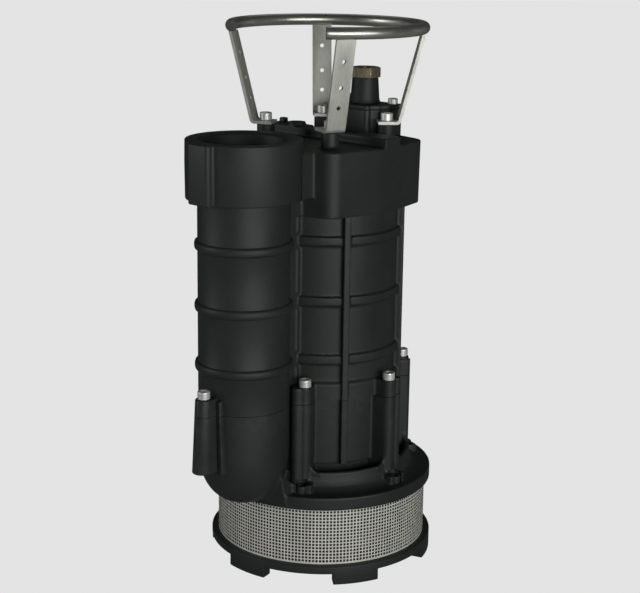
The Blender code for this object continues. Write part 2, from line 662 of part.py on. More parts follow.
def make_top_cover(riser_clearance):
    bottom = MOTOR_TOP + GAP
    cover = add_piece("top_cover", outline_mesh("top_cover", cover_outline(), bottom, BRIDGE_TOP), BLACK)
    reach = COVER_CORNER_CIRCLE + COVER_CORNER_RADIUS
    high = BRIDGE_TOP + SINK
    waist = BRIDGE_WAIST_HALF_WIDTH
    steps = [box_mesh("front_step", (-reach, -reach, TOP_COVER_TOP), (reach, BRIDGE_FRONT, high)),
             box_mesh("rear_step", (-reach, BRIDGE_BACK, TOP_COVER_TOP), (reach, reach, high))]
    cut_with(cover, "cover_steps", steps)
    cut_with(cover, "bridge_waist", [box_mesh("waist", (-waist, BRIDGE_WAIST_BACK, TOP_COVER_TOP),
                                              (waist, BRIDGE_BACK + SINK, high))])
    union_with(cover, "neck", [neck_mesh("neck", NECK_HALF_WIDTH, COLLAR_BOTTOM, TOP_COVER_TOP)])
    union_with(cover, "low_neck", [neck_mesh("low_neck", LOW_NECK_HALF_WIDTH, bottom, LOW_NECK_TOP)])
    posts = [cylinder_mesh("post", POST_RADIUS, TOP_COVER_TOP - SINK, POST_TOP, POST_STEPS,
                           around(angle * DEGREE, POST_CIRCLE)) for name, angle, lean in handle_posts()]
    union_with(cover, "posts", posts)
    plug_boss = cylinder_mesh("plug_boss", PLUG_BOSS_RADIUS, TOP_COVER_TOP - SINK, PLUG_BOSS_TOP, POST_STEPS,
                              (*PLUG_BOSS_PLACE, 0.0))
    union_with(cover, "plug_boss", [plug_boss])
    half = NUB_SIZE / 2.0
    union_with(cover, "nub", [box_mesh("nub", (NUB_PLACE[0] - half, NUB_PLACE[1] - half, BRIDGE_TOP - SINK),
                                       (NUB_PLACE[0] + half, NUB_PLACE[1] + half, NUB_TOP))])
    collar_room = cylinder_mesh("collar_room", COLLAR_RADIUS + GAP, COLLAR_BOTTOM - GAP, COLLAR_TOP + SINK,
                                ROUND_STEPS)
    moved(collar_room, Matrix.Translation((0.0, -RISER_OFFSET, 0.0)))
    cut_with(cover, "cover_collar_room", [collar_room])
    combine(cover, riser_clearance, "DIFFERENCE")
    bolt_bottom = POST_TOP + GAP + STRAP_THICKNESS + GAP - HANDLE_BOLT_REACH - BOLT_CLEARANCE
    holes = [bolt_hole_mesh(angle * DEGREE, POST_CIRCLE, bolt_bottom, POST_TOP + SINK)
             for name, angle, lean in handle_posts()]
    cut_with(cover, "cover_holes", holes)


def entry_outline():
    corner = ENTRY_CORNER
    side = [(ENTRY_NOSE_HALF_WIDTH - corner, ENTRY_NOSE_FRONT),
            (ENTRY_NOSE_HALF_WIDTH, ENTRY_NOSE_FRONT + corner), (ENTRY_NOSE_HALF_WIDTH, ENTRY_NOSE_BACK),
            (ENTRY_HALF_WIDTH, ENTRY_SHOULDER), (ENTRY_HALF_WIDTH, ENTRY_BACK - corner),
            (ENTRY_HALF_WIDTH - corner, ENTRY_BACK)]
    return mirrored(side)


def entry_screw_places():
    return (("left", (-ENTRY_SCREW_PLACE[0], ENTRY_SCREW_PLACE[1], 0.0)),
            ("right", (ENTRY_SCREW_PLACE[0], ENTRY_SCREW_PLACE[1], 0.0)))


def make_cable_entry():
    block = outline_mesh("block", entry_outline(), TOP_COVER_TOP + GAP, LID_BOTTOM)
    lid = outline_mesh("lid", entry_outline(), LID_BOTTOM + GAP, LID_TOP)
    bottom = LID_TOP + GAP - ENTRY_SCREW_REACH - BOLT_CLEARANCE
    for piece in (add_piece("cable_entry_block", block, BLACK), add_piece("cable_entry_lid", lid, BLACK)):
        holes = [cylinder_mesh("hole", ENTRY_SCREW_RADIUS + BOLT_CLEARANCE, bottom, LID_TOP + SINK,
                               HOLE_STEPS, place) for name, place in entry_screw_places()]
        cut_with(piece, piece.name + "_holes", holes)
    place = (0.0, GLAND_OFFSET, 0.0)
    gland = [(0.0, GLAND_TOP), (GLAND_RADIUS - GLAND_TAPER, GLAND_TOP),
             (GLAND_RADIUS, LID_TOP + GLAND_FOOT_HEIGHT), (GLAND_RADIUS + EDGE, LID_TOP + GAP),
             (0.0, LID_TOP + GAP)]
    turned("cable_gland_body", gland, BLACK, 32, location=place)
    nut = cylinder_mesh("cable_gland_nut", hexagon_radius(NUT_ACROSS), GLAND_TOP + GAP, NUT_TOP, 6)
    piece = add_piece("cable_gland_nut", nut, BRASS, place)
    cut_with(piece, "cable_way", [cylinder_mesh("cable_way", CABLE_WAY_RADIUS, NUT_TOP - CABLE_WAY_DEPTH,
                                                NUT_TOP + SINK, 24, place)])


def add_bolt(name, place, seat, reach, material=STAINLESS, size=BOLT_RADIUS, head_size=HEAD_RADIUS,
             head_height=HEAD_HEIGHT):
    """A socket head screw whose head stands on seat and whose shank reaches down from it."""
    head = cylinder_mesh(name, head_size, seat, seat + head_height, HEAD_STEPS, place)
    bolt = add_piece(name, head, material)
    shank = cylinder_mesh("shank", size, seat - reach, seat + SINK, HOLE_STEPS, place)
    union_with(bolt, name + "_shank", [shank])
    socket = cylinder_mesh("socket", hexagon_radius(SOCKET_ACROSS * size / BOLT_RADIUS),
                           seat + head_height - SOCKET_DEPTH, seat + head_height + SINK, 6, place)
    cut_with(bolt, name + "_socket", [socket])


def make_bolts():
    seat = STRAINER_SEAT + GAP
    for index, angle in enumerate(bolt_angles()):
        add_bolt("flange_bolt_%d" % (index + 1), around(angle, BOLT_CIRCLE), MOTOR_FLANGE_TOP + GAP,
                 FLANGE_BOLT_REACH)
        add_bolt("strainer_bolt_%d" % (index + 1), around(angle, STRAINER_BOLT_CIRCLE), seat,
                 seat - STRAINER_BOLT_END, BLACK)
    add_bolt("discharge_lug_bolt", around(0.0, LUG_OFFSET), MOTOR_FLANGE_TOP + GAP, FLANGE_BOLT_REACH)
    strap_top = POST_TOP + GAP + STRAP_THICKNESS + GAP
    for name, angle, lean in handle_posts():
        add_bolt("handle_bolt_" + name, around(angle * DEGREE, POST_CIRCLE), strap_top, HANDLE_BOLT_REACH)
    for name, place in entry_screw_places():
        add_bolt("entry_screw_" + name, place, LID_TOP + GAP, ENTRY_SCREW_REACH, STAINLESS,
                 ENTRY_SCREW_RADIUS, ENTRY_SCREW_HEAD_RADIUS, ENTRY_SCREW_HEAD_HEIGHT)


def strap_outline(heel):
    """The strap seen from its side: distance out from the post's axis, and height."""
    low = POST_TOP + GAP
    high = low + STRAP_THICKNESS
    top = RING_HEIGHT - RING_BAR_RADIUS - GAP
    reach = RING_RADIUS - POST_CIRCLE
    lean = (reach - STRAP_TOE) / (top - low)
    inner = STRAP_THICKNESS * math.sqrt(1.0 + lean * lean)
    return [(-heel, low), (STRAP_TOE, low), (reach + inner / 2.0, top), (reach - inner / 2.0, top),
            (STRAP_TOE - inner + lean * STRAP_THICKNESS, high), (-heel, high)]


def make_straps():
    low = POST_TOP + GAP
    for name, angle, lean in handle_posts():
        heel = STRAP_FRONT_HEEL if name.startswith("front") else STRAP_REAR_HEEL
        side = outline_mesh("strap", strap_outline(heel), -STRAP_WIDTH / 2.0, STRAP_WIDTH / 2.0)
        moved(side, Matrix.Rotation(math.pi / 2.0, 4, "X"))
        turn = lean * DEGREE - math.pi / 2.0
        post = around(angle * DEGREE, POST_CIRCLE)
        strap = add_piece("handle_strap_" + name, side, STAINLESS, post, turn)
        holes = [cylinder_mesh("hole", BOLT_RADIUS + BOLT_CLEARANCE, low - SINK, low + STRAP_THICKNESS + SINK,
                               HOLE_STEPS)]
        for height in STRAP_HOLE_HEIGHTS:
            hole = cylinder_mesh("hole", STRAP_HOLE_RADIUS, STRAP_TOE - STRAP_HOLE_SPAN,
                                 STRAP_TOE + STRAP_HOLE_SPAN, HEAD_STEPS)
            moved(hole, Matrix.Rotation(math.pi / 2.0, 4, "Y"))
            moved(hole, Matrix.Translation((0.0, 0.0, height)))
            holes.append(hole)
        room = join_meshes("strap_holes", holes)
        helper = as_helper(add_piece(name + "_strap_holes", room, BLACK, post, turn))
        combine(strap, helper, "DIFFERENCE")


def make_handle_ring():
    curve = bpy.data.curves.new("handle_ring", "CURVE")
    curve.dimensions = "3D"
    curve.bevel_depth = RING_BAR_RADIUS
    curve.bevel_resolution = 2
    curve.use_fill_caps = True
    spline = curve.splines.new("POLY")
    count = 45
    spline.points.add(count - 1)
    for index in range(count):
        angle = RING_GAP + (2.0 * math.pi - 2.0 * RING_GAP) * index / (count - 1)
        spline.points[index].co = (*around(angle, RING_RADIUS, RING_HEIGHT), 1.0)
    curve.materials.append(STAINLESS)
    ring = bpy.data.objects.new("handle_ring", curve)
    ring.parent = AXIS
    PARTS.objects.link(ring)


make_base_plate()
make_strainer_screen()
make_pump_casing()
RISER_ROOM = make_motor_housing()
make_discharge_riser()
make_discharge_collar()
make_top_cover(RISER_ROOM)
make_cable_entry()
make_bolts()
make_straps()
make_handle_ring()
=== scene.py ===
"""The finished surfaces of a submersible drainage pump, modelled over its solids.

Every piece is modelled with the motor's axis at the origin and the discharge riser on the -Y
side, and is then set over the base plate's middle. Lengths are in metres, +Z is up.
"""

import math

import bpy
from mathutils import Matrix, Vector


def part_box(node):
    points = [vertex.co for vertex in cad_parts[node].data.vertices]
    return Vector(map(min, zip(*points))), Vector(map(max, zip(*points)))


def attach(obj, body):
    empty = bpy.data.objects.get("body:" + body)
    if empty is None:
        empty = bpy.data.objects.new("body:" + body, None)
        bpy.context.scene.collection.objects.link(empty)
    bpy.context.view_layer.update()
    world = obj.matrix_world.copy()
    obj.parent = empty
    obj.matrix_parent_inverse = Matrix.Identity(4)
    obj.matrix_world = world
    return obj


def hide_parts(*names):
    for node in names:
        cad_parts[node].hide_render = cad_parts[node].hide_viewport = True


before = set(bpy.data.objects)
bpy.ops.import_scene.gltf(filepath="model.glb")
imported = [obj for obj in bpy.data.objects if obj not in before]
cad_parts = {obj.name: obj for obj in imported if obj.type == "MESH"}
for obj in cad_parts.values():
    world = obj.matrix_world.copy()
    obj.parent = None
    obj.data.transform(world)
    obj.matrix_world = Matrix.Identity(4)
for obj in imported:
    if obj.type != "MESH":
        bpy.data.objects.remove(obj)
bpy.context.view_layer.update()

bl_info = {
    "name": "Submersible pump surfaces",
    "version": (1, 0, 0),
    "blender": (4, 5, 0),
    "location": "View3D > Sidebar > Pump",
    "description": "Models the castings, screen, screws and handle of a submersible drainage pump",
    "category": "Object",
}

DEGREE = math.pi / 180.0
FULL_TURN = 2.0 * math.pi
QUARTER_TURN = math.pi / 2.0
EVEN_GRAIN = (1.0, 1.0, 1.0)
NEARLY_STRAIGHT = 170.0 * DEGREE
EASED_SHARE = 0.45
SINK = 0.002
TRIM = 0.006
SEAM = 0.0003
ROUND_STEPS = 160
CLEAR_ABOVE = 0.6
CLEAR_BESIDE = 0.13

# Places that come from the solids
BASE_LOW, BASE_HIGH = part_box("base_plate")
AXIS_Y = (BASE_LOW[1] + BASE_HIGH[1]) / 2.0
SCREEN_LOW, SCREEN_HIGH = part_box("strainer_screen")
CASING_LOW, CASING_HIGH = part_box("pump_casing")
HOUSING_LOW, HOUSING_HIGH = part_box("motor_housing")
COLLAR_LOW, COLLAR_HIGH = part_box("discharge_collar")
RISER_Y = COLLAR_HIGH[1] - (COLLAR_HIGH[0] - COLLAR_LOW[0]) / 2.0 - AXIS_Y
COVER_LOW, COVER_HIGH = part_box("top_cover")
LID_LOW, LID_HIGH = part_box("cable_entry_lid")
BLOCK_LOW, BLOCK_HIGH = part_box("cable_entry_block")
GLAND_LOW, GLAND_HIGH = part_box("cable_gland_body")
NUT_LOW, NUT_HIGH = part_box("cable_gland_nut")
RING_LOW, RING_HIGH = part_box("handle_ring")

# Castings
BASE_RADIUS = 0.152
PLATE_BOTTOM = 0.015
FOOT_INNER_RADIUS = 0.1354
FOOT_HALF_ANGLE = 12.1 * DEGREE
FOOT_SPACING = FULL_TURN / 6.0
PLATE_SEAT_RADIUS = 0.1455
FLANGE_RADIUS = 0.150
FLANGE_BOTTOM = 0.1033
FLANGE_TOP = 0.1208
SUCTION_RADIUS = 0.118
LIP_TOP = 0.145
LIP_OUTLINE = ((0.1385, FLANGE_TOP), (0.1310, 0.1222), (0.1250, 0.1264), (0.1218, 0.1330),
               (0.1208, 0.1385), (0.1200, LIP_TOP))
LIP_INNER_RADIUS = 0.1140
LIP_FILLET_RISE = 1.15
LIP_FILLET_DEPTH = (0.1142, 0.1198)
WALL_BOTTOM = 0.1485
WALL_RADIUS = 0.097
TROUGH_RADIUS = 0.090
TROUGH_FLOOR = 0.131
RISER_RADIUS = 0.059
BORE_RADIUS = 0.051
BAND_HEIGHTS = (0.4504, 0.3710, 0.2930)
BAND_HALF = 0.00585
BAND_ROOT = 0.004
BAND_REACH = 0.0042
BAND_SPANS = ((22.9, 53.6), (61.4, 118.6), (126.4, 175.5))
MOTOR_RADIUS = 0.0975
MOTOR_FLANGE_RADIUS = 0.1015
MOTOR_FLANGE_TOP = 0.261
RISER_BAND_SWELL = 0.0041
RISER_BAND_SIDE = ((0.0072, 0.0), (0.0062, 0.0004), (0.0055, 0.0022), (0.0043, 0.0034), (0.0022, 0.0040))
WEB_HALF_WIDTH = 0.0375
WEB_ROOT = -0.08
BEAD_ANGLE = 21.2
BEAD_HALF_WIDTH = 0.0027
BEAD_REACH = 0.1037
BEAD_GAP = 0.011
RIB_ANGLES = (57.5, 122.5, 180.0, 237.5, 302.5)
RIB_OUTER = 0.1065
RIB_WIDTH = 0.0088
BOLT_ANGLES = (30.0, 90.0, 150.0, 210.0, 270.0, 330.0)
BOLT_CIRCLE = 0.116
BOSS_RADIUS = 0.0095
RIDGES = ((25.8, 0.1206, 0.0078), (98.0, 0.1165, 0.0064), (142.0, 0.1165, 0.0064))
BOSS_ROOT = 0.085
FLANKS = ((30.0, 0.0093), (90.0, -0.0093), (98.0, 0.0062), (142.0, -0.0062), (150.0, 0.0093))
STRAINER_BOLT_CIRCLE = 0.130
POCKET_FLOOR = 0.1200
POCKET_TOP = 0.137
POCKET_RADIUS = 0.0092
RIM_RADIUS = 0.0148
RIM_OPENING = 26.0 * DEGREE
RIM_TOP = 0.1325
GUSSET_FOOT = ((0.0620, -0.1375), (0.0310, -0.1500), (0.0310, -0.1080), (0.0600, -0.1080))
GUSSET_FOOT_RISE = 0.1115
GUSSET_TOP = 0.1215
GUSSET_APEX = (0.0560, -0.1440, 0.152)
GUSSET_INNER_APEX = (0.0320, -0.1496, 0.1155)
EAR_ROUNDING = (0.0016, 3, 50.0)
LUG_OFFSET = 0.2265
LUG_RADIUS = 0.011
LUG_TOP = 0.261
LUG_BOTTOM = 0.163
LUG_DRAFT = 0.022
LUG_LEAN = 0.014
LUG_ROOT = 0.205
LUG_HEAD_ROOT = 0.209
SIDE_RIB_WIDTHS = (0.0106, 0.0181)
SIDE_RIB_DEPTHS = (-0.2165, -0.207)
SIDE_RIB_BOTTOM = 0.160
SIDE_RIB_LEAN = 0.040
SIDE_RIB_SLOPE = 0.004
BORE_CLEARED = 0.30
ELBOW_CENTRE = 0.179
ELBOW_DEPTH = 0.0735
ELBOW_FULLNESS = 0.86
PAD_HALF_WIDTH = 0.0185
PAD_CORNER = 0.0055
PAD_FILLET = 0.0045
COLLAR_PARTING = 0.556
COLLAR_DRAFT = 0.16
COLLAR_ROOM_RADIUS = 0.0747
MOUTH_RADIUS = 0.0550
MOUTH_DEPTH = 0.042
COVER_TOP = 0.568
COVER_SIDE_RADIUS = 0.109
COVER_CORNER_CIRCLE = 0.103
COVER_CORNER_RADIUS = 0.0226
COVER_DRAFT = 0.10
BRIDGE_TOP = 0.5798
BRIDGE_FRONT = -0.008
BRIDGE_BACK = 0.026
WAIST_HALF_WIDTH = 0.045
WAIST_FRONT = 0.008
NECK_HALF_WIDTH = 0.0655
NECK_ROOT = -0.090
NECK_FLARE = 0.006
NECK_FLARE_START = -0.0945
NECK_FRONT = -0.124
LOWER_NECK_HALF_WIDTH = 0.049
LOWER_NECK_TOP = 0.505
POST_CIRCLE = 0.0797
POST_RADIUS = 0.0116
POST_FOOT_RADIUS = 0.0152
PLUG_PLACE = (-0.057, 0.0045)
PLUG_RADIUS = 0.0134
PLUG_TOP = 0.585
EAR_LOW = (-0.0945, 0.0095, BRIDGE_TOP - 0.004)
EAR_HIGH = (-0.0855, 0.0185, 0.5868)

# Cable entry
BLOCK_CORNER = 0.006
BLOCK_FRONT_WIDTH = 0.033
BLOCK_BACK_WIDTH = 0.048
SCALLOP_RADIUS = 0.0165
SCALLOP_PLACE = 0.0564
GLAND_RADIUS = 0.0205
GLAND_TOP_RADIUS = 0.0176
NUT_ACROSS = 0.036
NUT_TURNED = 30.0 * DEGREE
CABLE_WAY_RADIUS = 0.0090
CABLE_WAY_DEPTH = 0.010

# Screws: shank radius, head radius, head height
LARGE_SCREW = (0.005, 0.008, 0.010)
SMALL_SCREW = (0.004, 0.0065, 0.0075)

# Handle: each strap has a name, its post's angle, the angle that it leans to, and its heel's length
STRAPS = (
    ("front_left", -45.0, -64.5, 0.0115),
    ("front_right", 45.0, 64.5, 0.020),
    ("rear_left", -135.0, -135.0, 0.012),
    ("rear_right", 135.0, 135.0, 0.012),
)
STRAP_TOE = 0.017
STRAP_OUTER_BEND = 0.0075
STRAP_INNER_BEND = 0.0038
STRAP_HOLE_RADIUS = 0.00275
STRAP_HOLE_HEIGHTS = (0.680, 0.647, 0.621)
FOOT_HOLE_RADIUS = 0.0053
BAR_SIDES = 24
BAR_STEPS = 140

# Camera and lights: the camera's turn in degrees from the discharge side. Each light has a name, its
# degrees to the right of the camera, its rise, its distance, its size and its share of a power.
CAMERA_TURN = 41.5
CAMERA_PITCH = 0.2484
CAMERA_ROLL = 0.0137
CAMERA_PLACE = (1.3118, AXIS_Y - 1.49065, 0.8568)
LIGHT_TARGET = (0.0, 0.0, 0.33)
LIGHTS = (
    ("key_light", 25.0, 4.0, 3.2, (3.0, 1.5), "key_power", 1.0),
    ("left_light", -76.0, 14.0, 2.8, (1.0, 1.4), "fill_power", 2.0),
    ("right_light", 118.0, 3.0, 2.6, (0.8, 1.6), "fill_power", 0.08),
    ("back_light", 178.0, 50.0, 3.0, (1.4, 1.4), "fill_power", 0.3),
)


class PumpPaintSettings(bpy.types.PropertyGroup):
    """The black paint on the castings"""

    colour: bpy.props.FloatVectorProperty(
        name="Paint Colour", description="Colour of the black satin paint", subtype="COLOR",
        size=3, min=0.0, max=1.0, default=(0.0198, 0.0242, 0.0219))
    dust_colour: bpy.props.FloatVectorProperty(
        name="Dust Colour", description="Colour of the thin dust that dulls the paint", subtype="COLOR",
        size=3, min=0.0, max=1.0, default=(0.034, 0.037, 0.032))
    roughness: bpy.props.FloatProperty(
        name="Roughness", description="How matt the paint is", min=0.05, max=1.0, default=0.50)
    grain: bpy.props.FloatProperty(
        name="Cast Grain", description="Height of the sand grain under the paint", subtype="DISTANCE",
        min=0.0, max=0.001, default=0.00012)


class PumpCastingSettings(bpy.types.PropertyGroup):
    """How the castings are skinned"""

    skin: bpy.props.FloatProperty(
        name="Skin Size", description="Width of the faces that a casting's skin is first laid in",
        subtype="DISTANCE", min=0.0008, max=0.006, default=0.0015)
    rounding: bpy.props.IntProperty(
        name="Rounding", description="How often a casting's skin is smoothed", min=0, max=20, default=5)
    share: bpy.props.FloatProperty(
        name="Kept Share", description="Share of the skin's faces that is kept", subtype="FACTOR",
        min=0.05, max=1.0, default=0.28)
    fillet: bpy.props.FloatProperty(
        name="Lip Fillet", description="Radius between the casing's lip and its bolt bosses",
        subtype="DISTANCE", min=0.001, max=0.02, default=0.0125)


class PumpScreenSettings(bpy.types.PropertyGroup):
    """The perforated strainer sheet"""

    columns: bpy.props.IntProperty(
        name="Columns", description="Holes round the screen", min=24, max=240, default=196)
    rows: bpy.props.IntProperty(
        name="Rows", description="Holes from top to bottom", min=4, max=20, default=16)
    hole: bpy.props.FloatProperty(
        name="Hole Size", description="Width of a square hole", subtype="DISTANCE",
        min=0.001, max=0.004, default=0.0030)
    thickness: bpy.props.FloatProperty(
        name="Sheet Thickness", description="Thickness of the sheet", subtype="DISTANCE",
        min=0.0005, max=0.003, default=0.0015)
    colour: bpy.props.FloatVectorProperty(
        name="Sheet Colour", description="Colour of the stainless sheet", subtype="COLOR",
        size=3, min=0.0, max=1.0, default=(0.72, 0.725, 0.655))


class PumpHandleSettings(bpy.types.PropertyGroup):
    """The lifting handle"""

    ring_radius: bpy.props.FloatProperty(
        name="Ring Radius", description="Radius of the ring's middle line", subtype="DISTANCE",
        min=0.05, max=0.2, default=0.1250)
    bar_radius: bpy.props.FloatProperty(
        name="Bar Radius", description="Radius of the ring's round bar", subtype="DISTANCE",
        min=0.004, max=0.012, default=0.00775)
    gap: bpy.props.FloatProperty(
        name="Gap", description="Half of the angle left open at the front", subtype="ANGLE",
        min=0.2, max=1.2, default=40.5 * DEGREE)
    strap_width: bpy.props.FloatProperty(
        name="Strap Width", description="Width of a flat strap", subtype="DISTANCE",
        min=0.01, max=0.04, default=0.026)
    strap_thickness: bpy.props.FloatProperty(
        name="Strap Thickness", description="Thickness of a flat strap", subtype="DISTANCE",
        min=0.002, max=0.006, default=0.004)
    colour: bpy.props.FloatVectorProperty(
        name="Bar Colour", description="Colour of the handle's stainless bar", subtype="COLOR",
        size=3, min=0.0, max=1.0, default=(0.53, 0.54, 0.485))


class PumpFixingSettings(bpy.types.PropertyGroup):
    """Screws and the cable gland's nut"""

    screw_colour: bpy.props.FloatVectorProperty(
        name="Screw Colour", description="Colour of the bright screws", subtype="COLOR",
        size=3, min=0.0, max=1.0, default=(0.74, 0.74, 0.72))
    brass_colour: bpy.props.FloatVectorProperty(
        name="Brass Colour", description="Colour of the gland's nut", subtype="COLOR",
        size=3, min=0.0, max=1.0, default=(0.60, 0.52, 0.37))


class PumpStageSettings(bpy.types.PropertyGroup):
    """Floor, light and camera"""

    backdrop: bpy.props.FloatProperty(
        name="Backdrop", description="Brightness of the plain backdrop", min=0.0, max=2.0, default=0.7758)
    key_power: bpy.props.FloatProperty(
        name="Key Light", description="Power of the large light beside the camera", subtype="POWER",
        min=0.0, max=500.0, default=76.0)
    fill_power: bpy.props.FloatProperty(
        name="Fill Light", description="Power of the soft lights at the sides and the back",
        subtype="POWER", min=0.0, max=500.0, default=9.0)
    lens: bpy.props.FloatProperty(
        name="Lens", description="Focal length of the camera, in millimetres", min=20.0, max=200.0,
        default=85.04)


# Work with the mesh tools

def put_down():
    """Leaves edit mode and selects nothing."""
    if bpy.context.mode != "OBJECT":
        bpy.ops.object.mode_set(mode="OBJECT")
    bpy.ops.object.select_all(action="DESELECT")


def pick_up(*pieces):
    """Selects only these pieces and makes the last one active."""
    put_down()
    for piece in pieces:
        piece.select_set(True)
    bpy.context.view_layer.objects.active = pieces[-1]


def edit(piece, kind="FACE"):
    """Opens a piece in edit mode with nothing selected."""
    pick_up(piece)
    bpy.ops.object.mode_set(mode="EDIT")
    bpy.ops.mesh.select_mode(type=kind)
    bpy.ops.mesh.select_all(action="DESELECT")


def mark_faces(piece, wanted):
    """Selects the faces for which wanted(middle, normal) holds, and goes back to edit mode."""
    bpy.ops.object.mode_set(mode="OBJECT")
    for face in piece.data.polygons:
        face.select = wanted(face.center, face.normal)
    bpy.ops.object.mode_set(mode="EDIT")


def close_up(piece):
    """Merges doubles, clears loose edges and turns the faces outwards."""
    pick_up(piece)
    bpy.ops.object.mode_set(mode="EDIT")
    bpy.ops.mesh.select_all(action="SELECT")
    bpy.ops.mesh.remove_doubles(threshold=0.000004)
    bpy.ops.mesh.delete_loose(use_verts=True, use_edges=True, use_faces=False)
    bpy.ops.mesh.select_all(action="SELECT")
    bpy.ops.mesh.normals_make_consistent(inside=False)
    bpy.ops.object.mode_set(mode="OBJECT")
    return piece


def loop_of(name, points, filled):
    """A closed loop through these points: a circle whose vertices are moved to them."""
    put_down()
    fill = "NGON" if filled else "NOTHING"
    bpy.ops.mesh.primitive_circle_add(vertices=len(points), radius=0.01, fill_type=fill)
    piece = bpy.context.object
    piece.name = name
    for vertex, point in zip(piece.data.vertices, points):
        vertex.co = point
    return piece


def turn(name, profile, steps, place=(0.0, 0.0)):
    """A closed profile of (radius, height) points, spun round the upright axis at place."""
    piece = loop_of(name, [(radius, 0.0, height) for radius, height in profile], False)
    bpy.ops.object.mode_set(mode="EDIT")
    bpy.ops.mesh.select_all(action="SELECT")
    bpy.ops.mesh.spin(steps=steps, angle=FULL_TURN, center=(0.0, 0.0, 0.0), axis=(0.0, 0.0, 1.0))
    close_up(piece)
    return shift(piece, (place[0], place[1], 0.0))


def slab(name, outline, bottom, top):
    """A flat outline, extruded from bottom to top."""
    piece = loop_of(name, [(x, y, bottom) for x, y in outline], True)
    bpy.ops.object.mode_set(mode="EDIT")
    bpy.ops.mesh.select_all(action="SELECT")
    bpy.ops.mesh.extrude_region_move(TRANSFORM_OT_translate={"value": (0.0, 0.0, top - bottom)})
    return close_up(piece)


def upright_slab(name, outline, near, far):
    """A slab that stands on edge: its outline's second value is its height."""
    piece = slab(name, outline, near, far)
    piece.data.transform(Matrix(((1, 0, 0, 0), (0, 0, -1, 0), (0, 1, 0, 0), (0, 0, 0, 1))))
    return close_up(piece)


def rod(name, radius, bottom, top, steps, place=(0.0, 0.0)):
    """A round upright rod, mostly used to cut a hole."""
    return turn(name, [(0.0, bottom), (radius, bottom), (radius, top), (0.0, top)], steps, place)


def block(name, low, high):
    """A box between two corners."""
    put_down()
    middle = [(a + b) / 2.0 for a, b in zip(low, high)]
    size = [b - a for a, b in zip(low, high)]
    bpy.ops.mesh.primitive_cube_add(size=1.0, location=middle, scale=size)
    piece = bpy.context.object
    piece.name = name
    bpy.ops.object.transform_apply(location=True, rotation=True, scale=True)
    return piece


def shift(piece, way):
    """Moves a piece's mesh."""
    piece.data.transform(Matrix.Translation(way))
    return piece


def swing(piece, angle):
    """Turns a piece's mesh round the motor's axis."""
    piece.data.transform(Matrix.Rotation(angle, 4, "Z"))
    return piece


def copied(piece, name):
    pick_up(piece)
    bpy.ops.object.duplicate(linked=False)
    twin = bpy.context.object
    twin.name = name
    return twin


def worked(piece, kind, **settings):
    """Adds one modifier with these settings and applies it."""
    pick_up(piece)
    step = piece.modifiers.new(kind.lower(), kind)
    for key, value in settings.items():
        setattr(step, key, value)
    bpy.ops.object.modifier_apply(modifier=step.name)
    return piece


def rounded(piece, width, segments=3, angle=35.0):
    """Rounds a piece's edges where they bend by more than this angle."""
    return worked(piece, "BEVEL", width=width, segments=segments, limit_method="ANGLE",
                  angle_limit=angle * DEGREE, harden_normals=False, use_clamp_overlap=True)


def joined(name, pieces):
    """Makes one piece of several."""
    pick_up(*pieces)
    if len(pieces) > 1:
        bpy.ops.object.join()
    piece = bpy.context.object
    piece.name = name
    return piece


def drop(piece):
    pick_up(piece)
    bpy.ops.object.delete(use_global=False)


def cut_away(piece, *tools, solver="MANIFOLD"):
    """Cuts the tools out of a piece and deletes them."""
    for tool in tools:
        worked(piece, "BOOLEAN", operation="DIFFERENCE", solver=solver, object=tool)
        drop(tool)
    return piece


def grown(piece, *additions):
    """Adds pieces that overlap it to a piece."""
    for addition in additions:
        worked(piece, "BOOLEAN", operation="UNION", solver="MANIFOLD", object=addition)
        drop(addition)
    return piece


def cast(name, shells):
    """Lays one skin over solids that overlap, and rounds its edges and corners as a casting's are."""
    settings = bpy.context.scene.pump_casting
    piece = joined(name, shells)
    worked(piece, "REMESH", mode="VOXEL", voxel_size=settings.skin)
    worked(piece, "SMOOTH", factor=0.5, iterations=settings.rounding)
    worked(piece, "DECIMATE", ratio=settings.share)
    return piece


def trim(piece, low, high):
    """Machines a casting flat: takes away what it has between two heights."""
    return cut_away(piece, block("trim", (-0.3, -0.4, low), (0.3, 0.3, high)))


def drafted(piece, parting, centre, share):
    """Gives a casting its draft: it is widest at the parting line and narrows away from it."""
    if min(v.co.z for v in piece.data.vertices) < parting < max(v.co.z for v in piece.data.vertices) - SINK:
        edit(piece, "VERT")
        bpy.ops.mesh.select_all(action="SELECT")
        bpy.ops.mesh.bisect(plane_co=(0.0, 0.0, parting), plane_no=(0.0, 0.0, 1.0))
        bpy.ops.object.mode_set(mode="OBJECT")
    for vertex in piece.data.vertices:
        narrower = 1.0 - abs(vertex.co.z - parting) * share
        vertex.co.x = centre[0] + (vertex.co.x - centre[0]) * narrower
        vertex.co.y = centre[1] + (vertex.co.y - centre[1]) * narrower
    return piece


def finished(piece, material, slot, *nodes, angle=32.0):
    """Sets a piece over the base plate's middle, shades it, and lets it stand for its nodes."""
    shift(piece, (0.0, AXIS_Y, 0.0))
    pick_up(piece)
    bpy.ops.object.shade_smooth_by_angle(angle=angle * DEGREE)
    piece.data.materials.clear()
    piece.data.materials.append(material)
    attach(piece, "root")
    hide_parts(*nodes)
    put_down()
    return piece


# Outlines

def arc(centre, radius, start, end, steps):
    """Points on an arc, with start and end in radians from +X."""
    turns = [start + (end - start) * index / steps for index in range(steps + 1)]
    return [(centre[0] + radius * math.cos(t), centre[1] + radius * math.sin(t)) for t in turns]


def mirrored(side):
    """An outline made whole by its mirror image."""
    return side + [(-x, y) for x, y in reversed(side)]


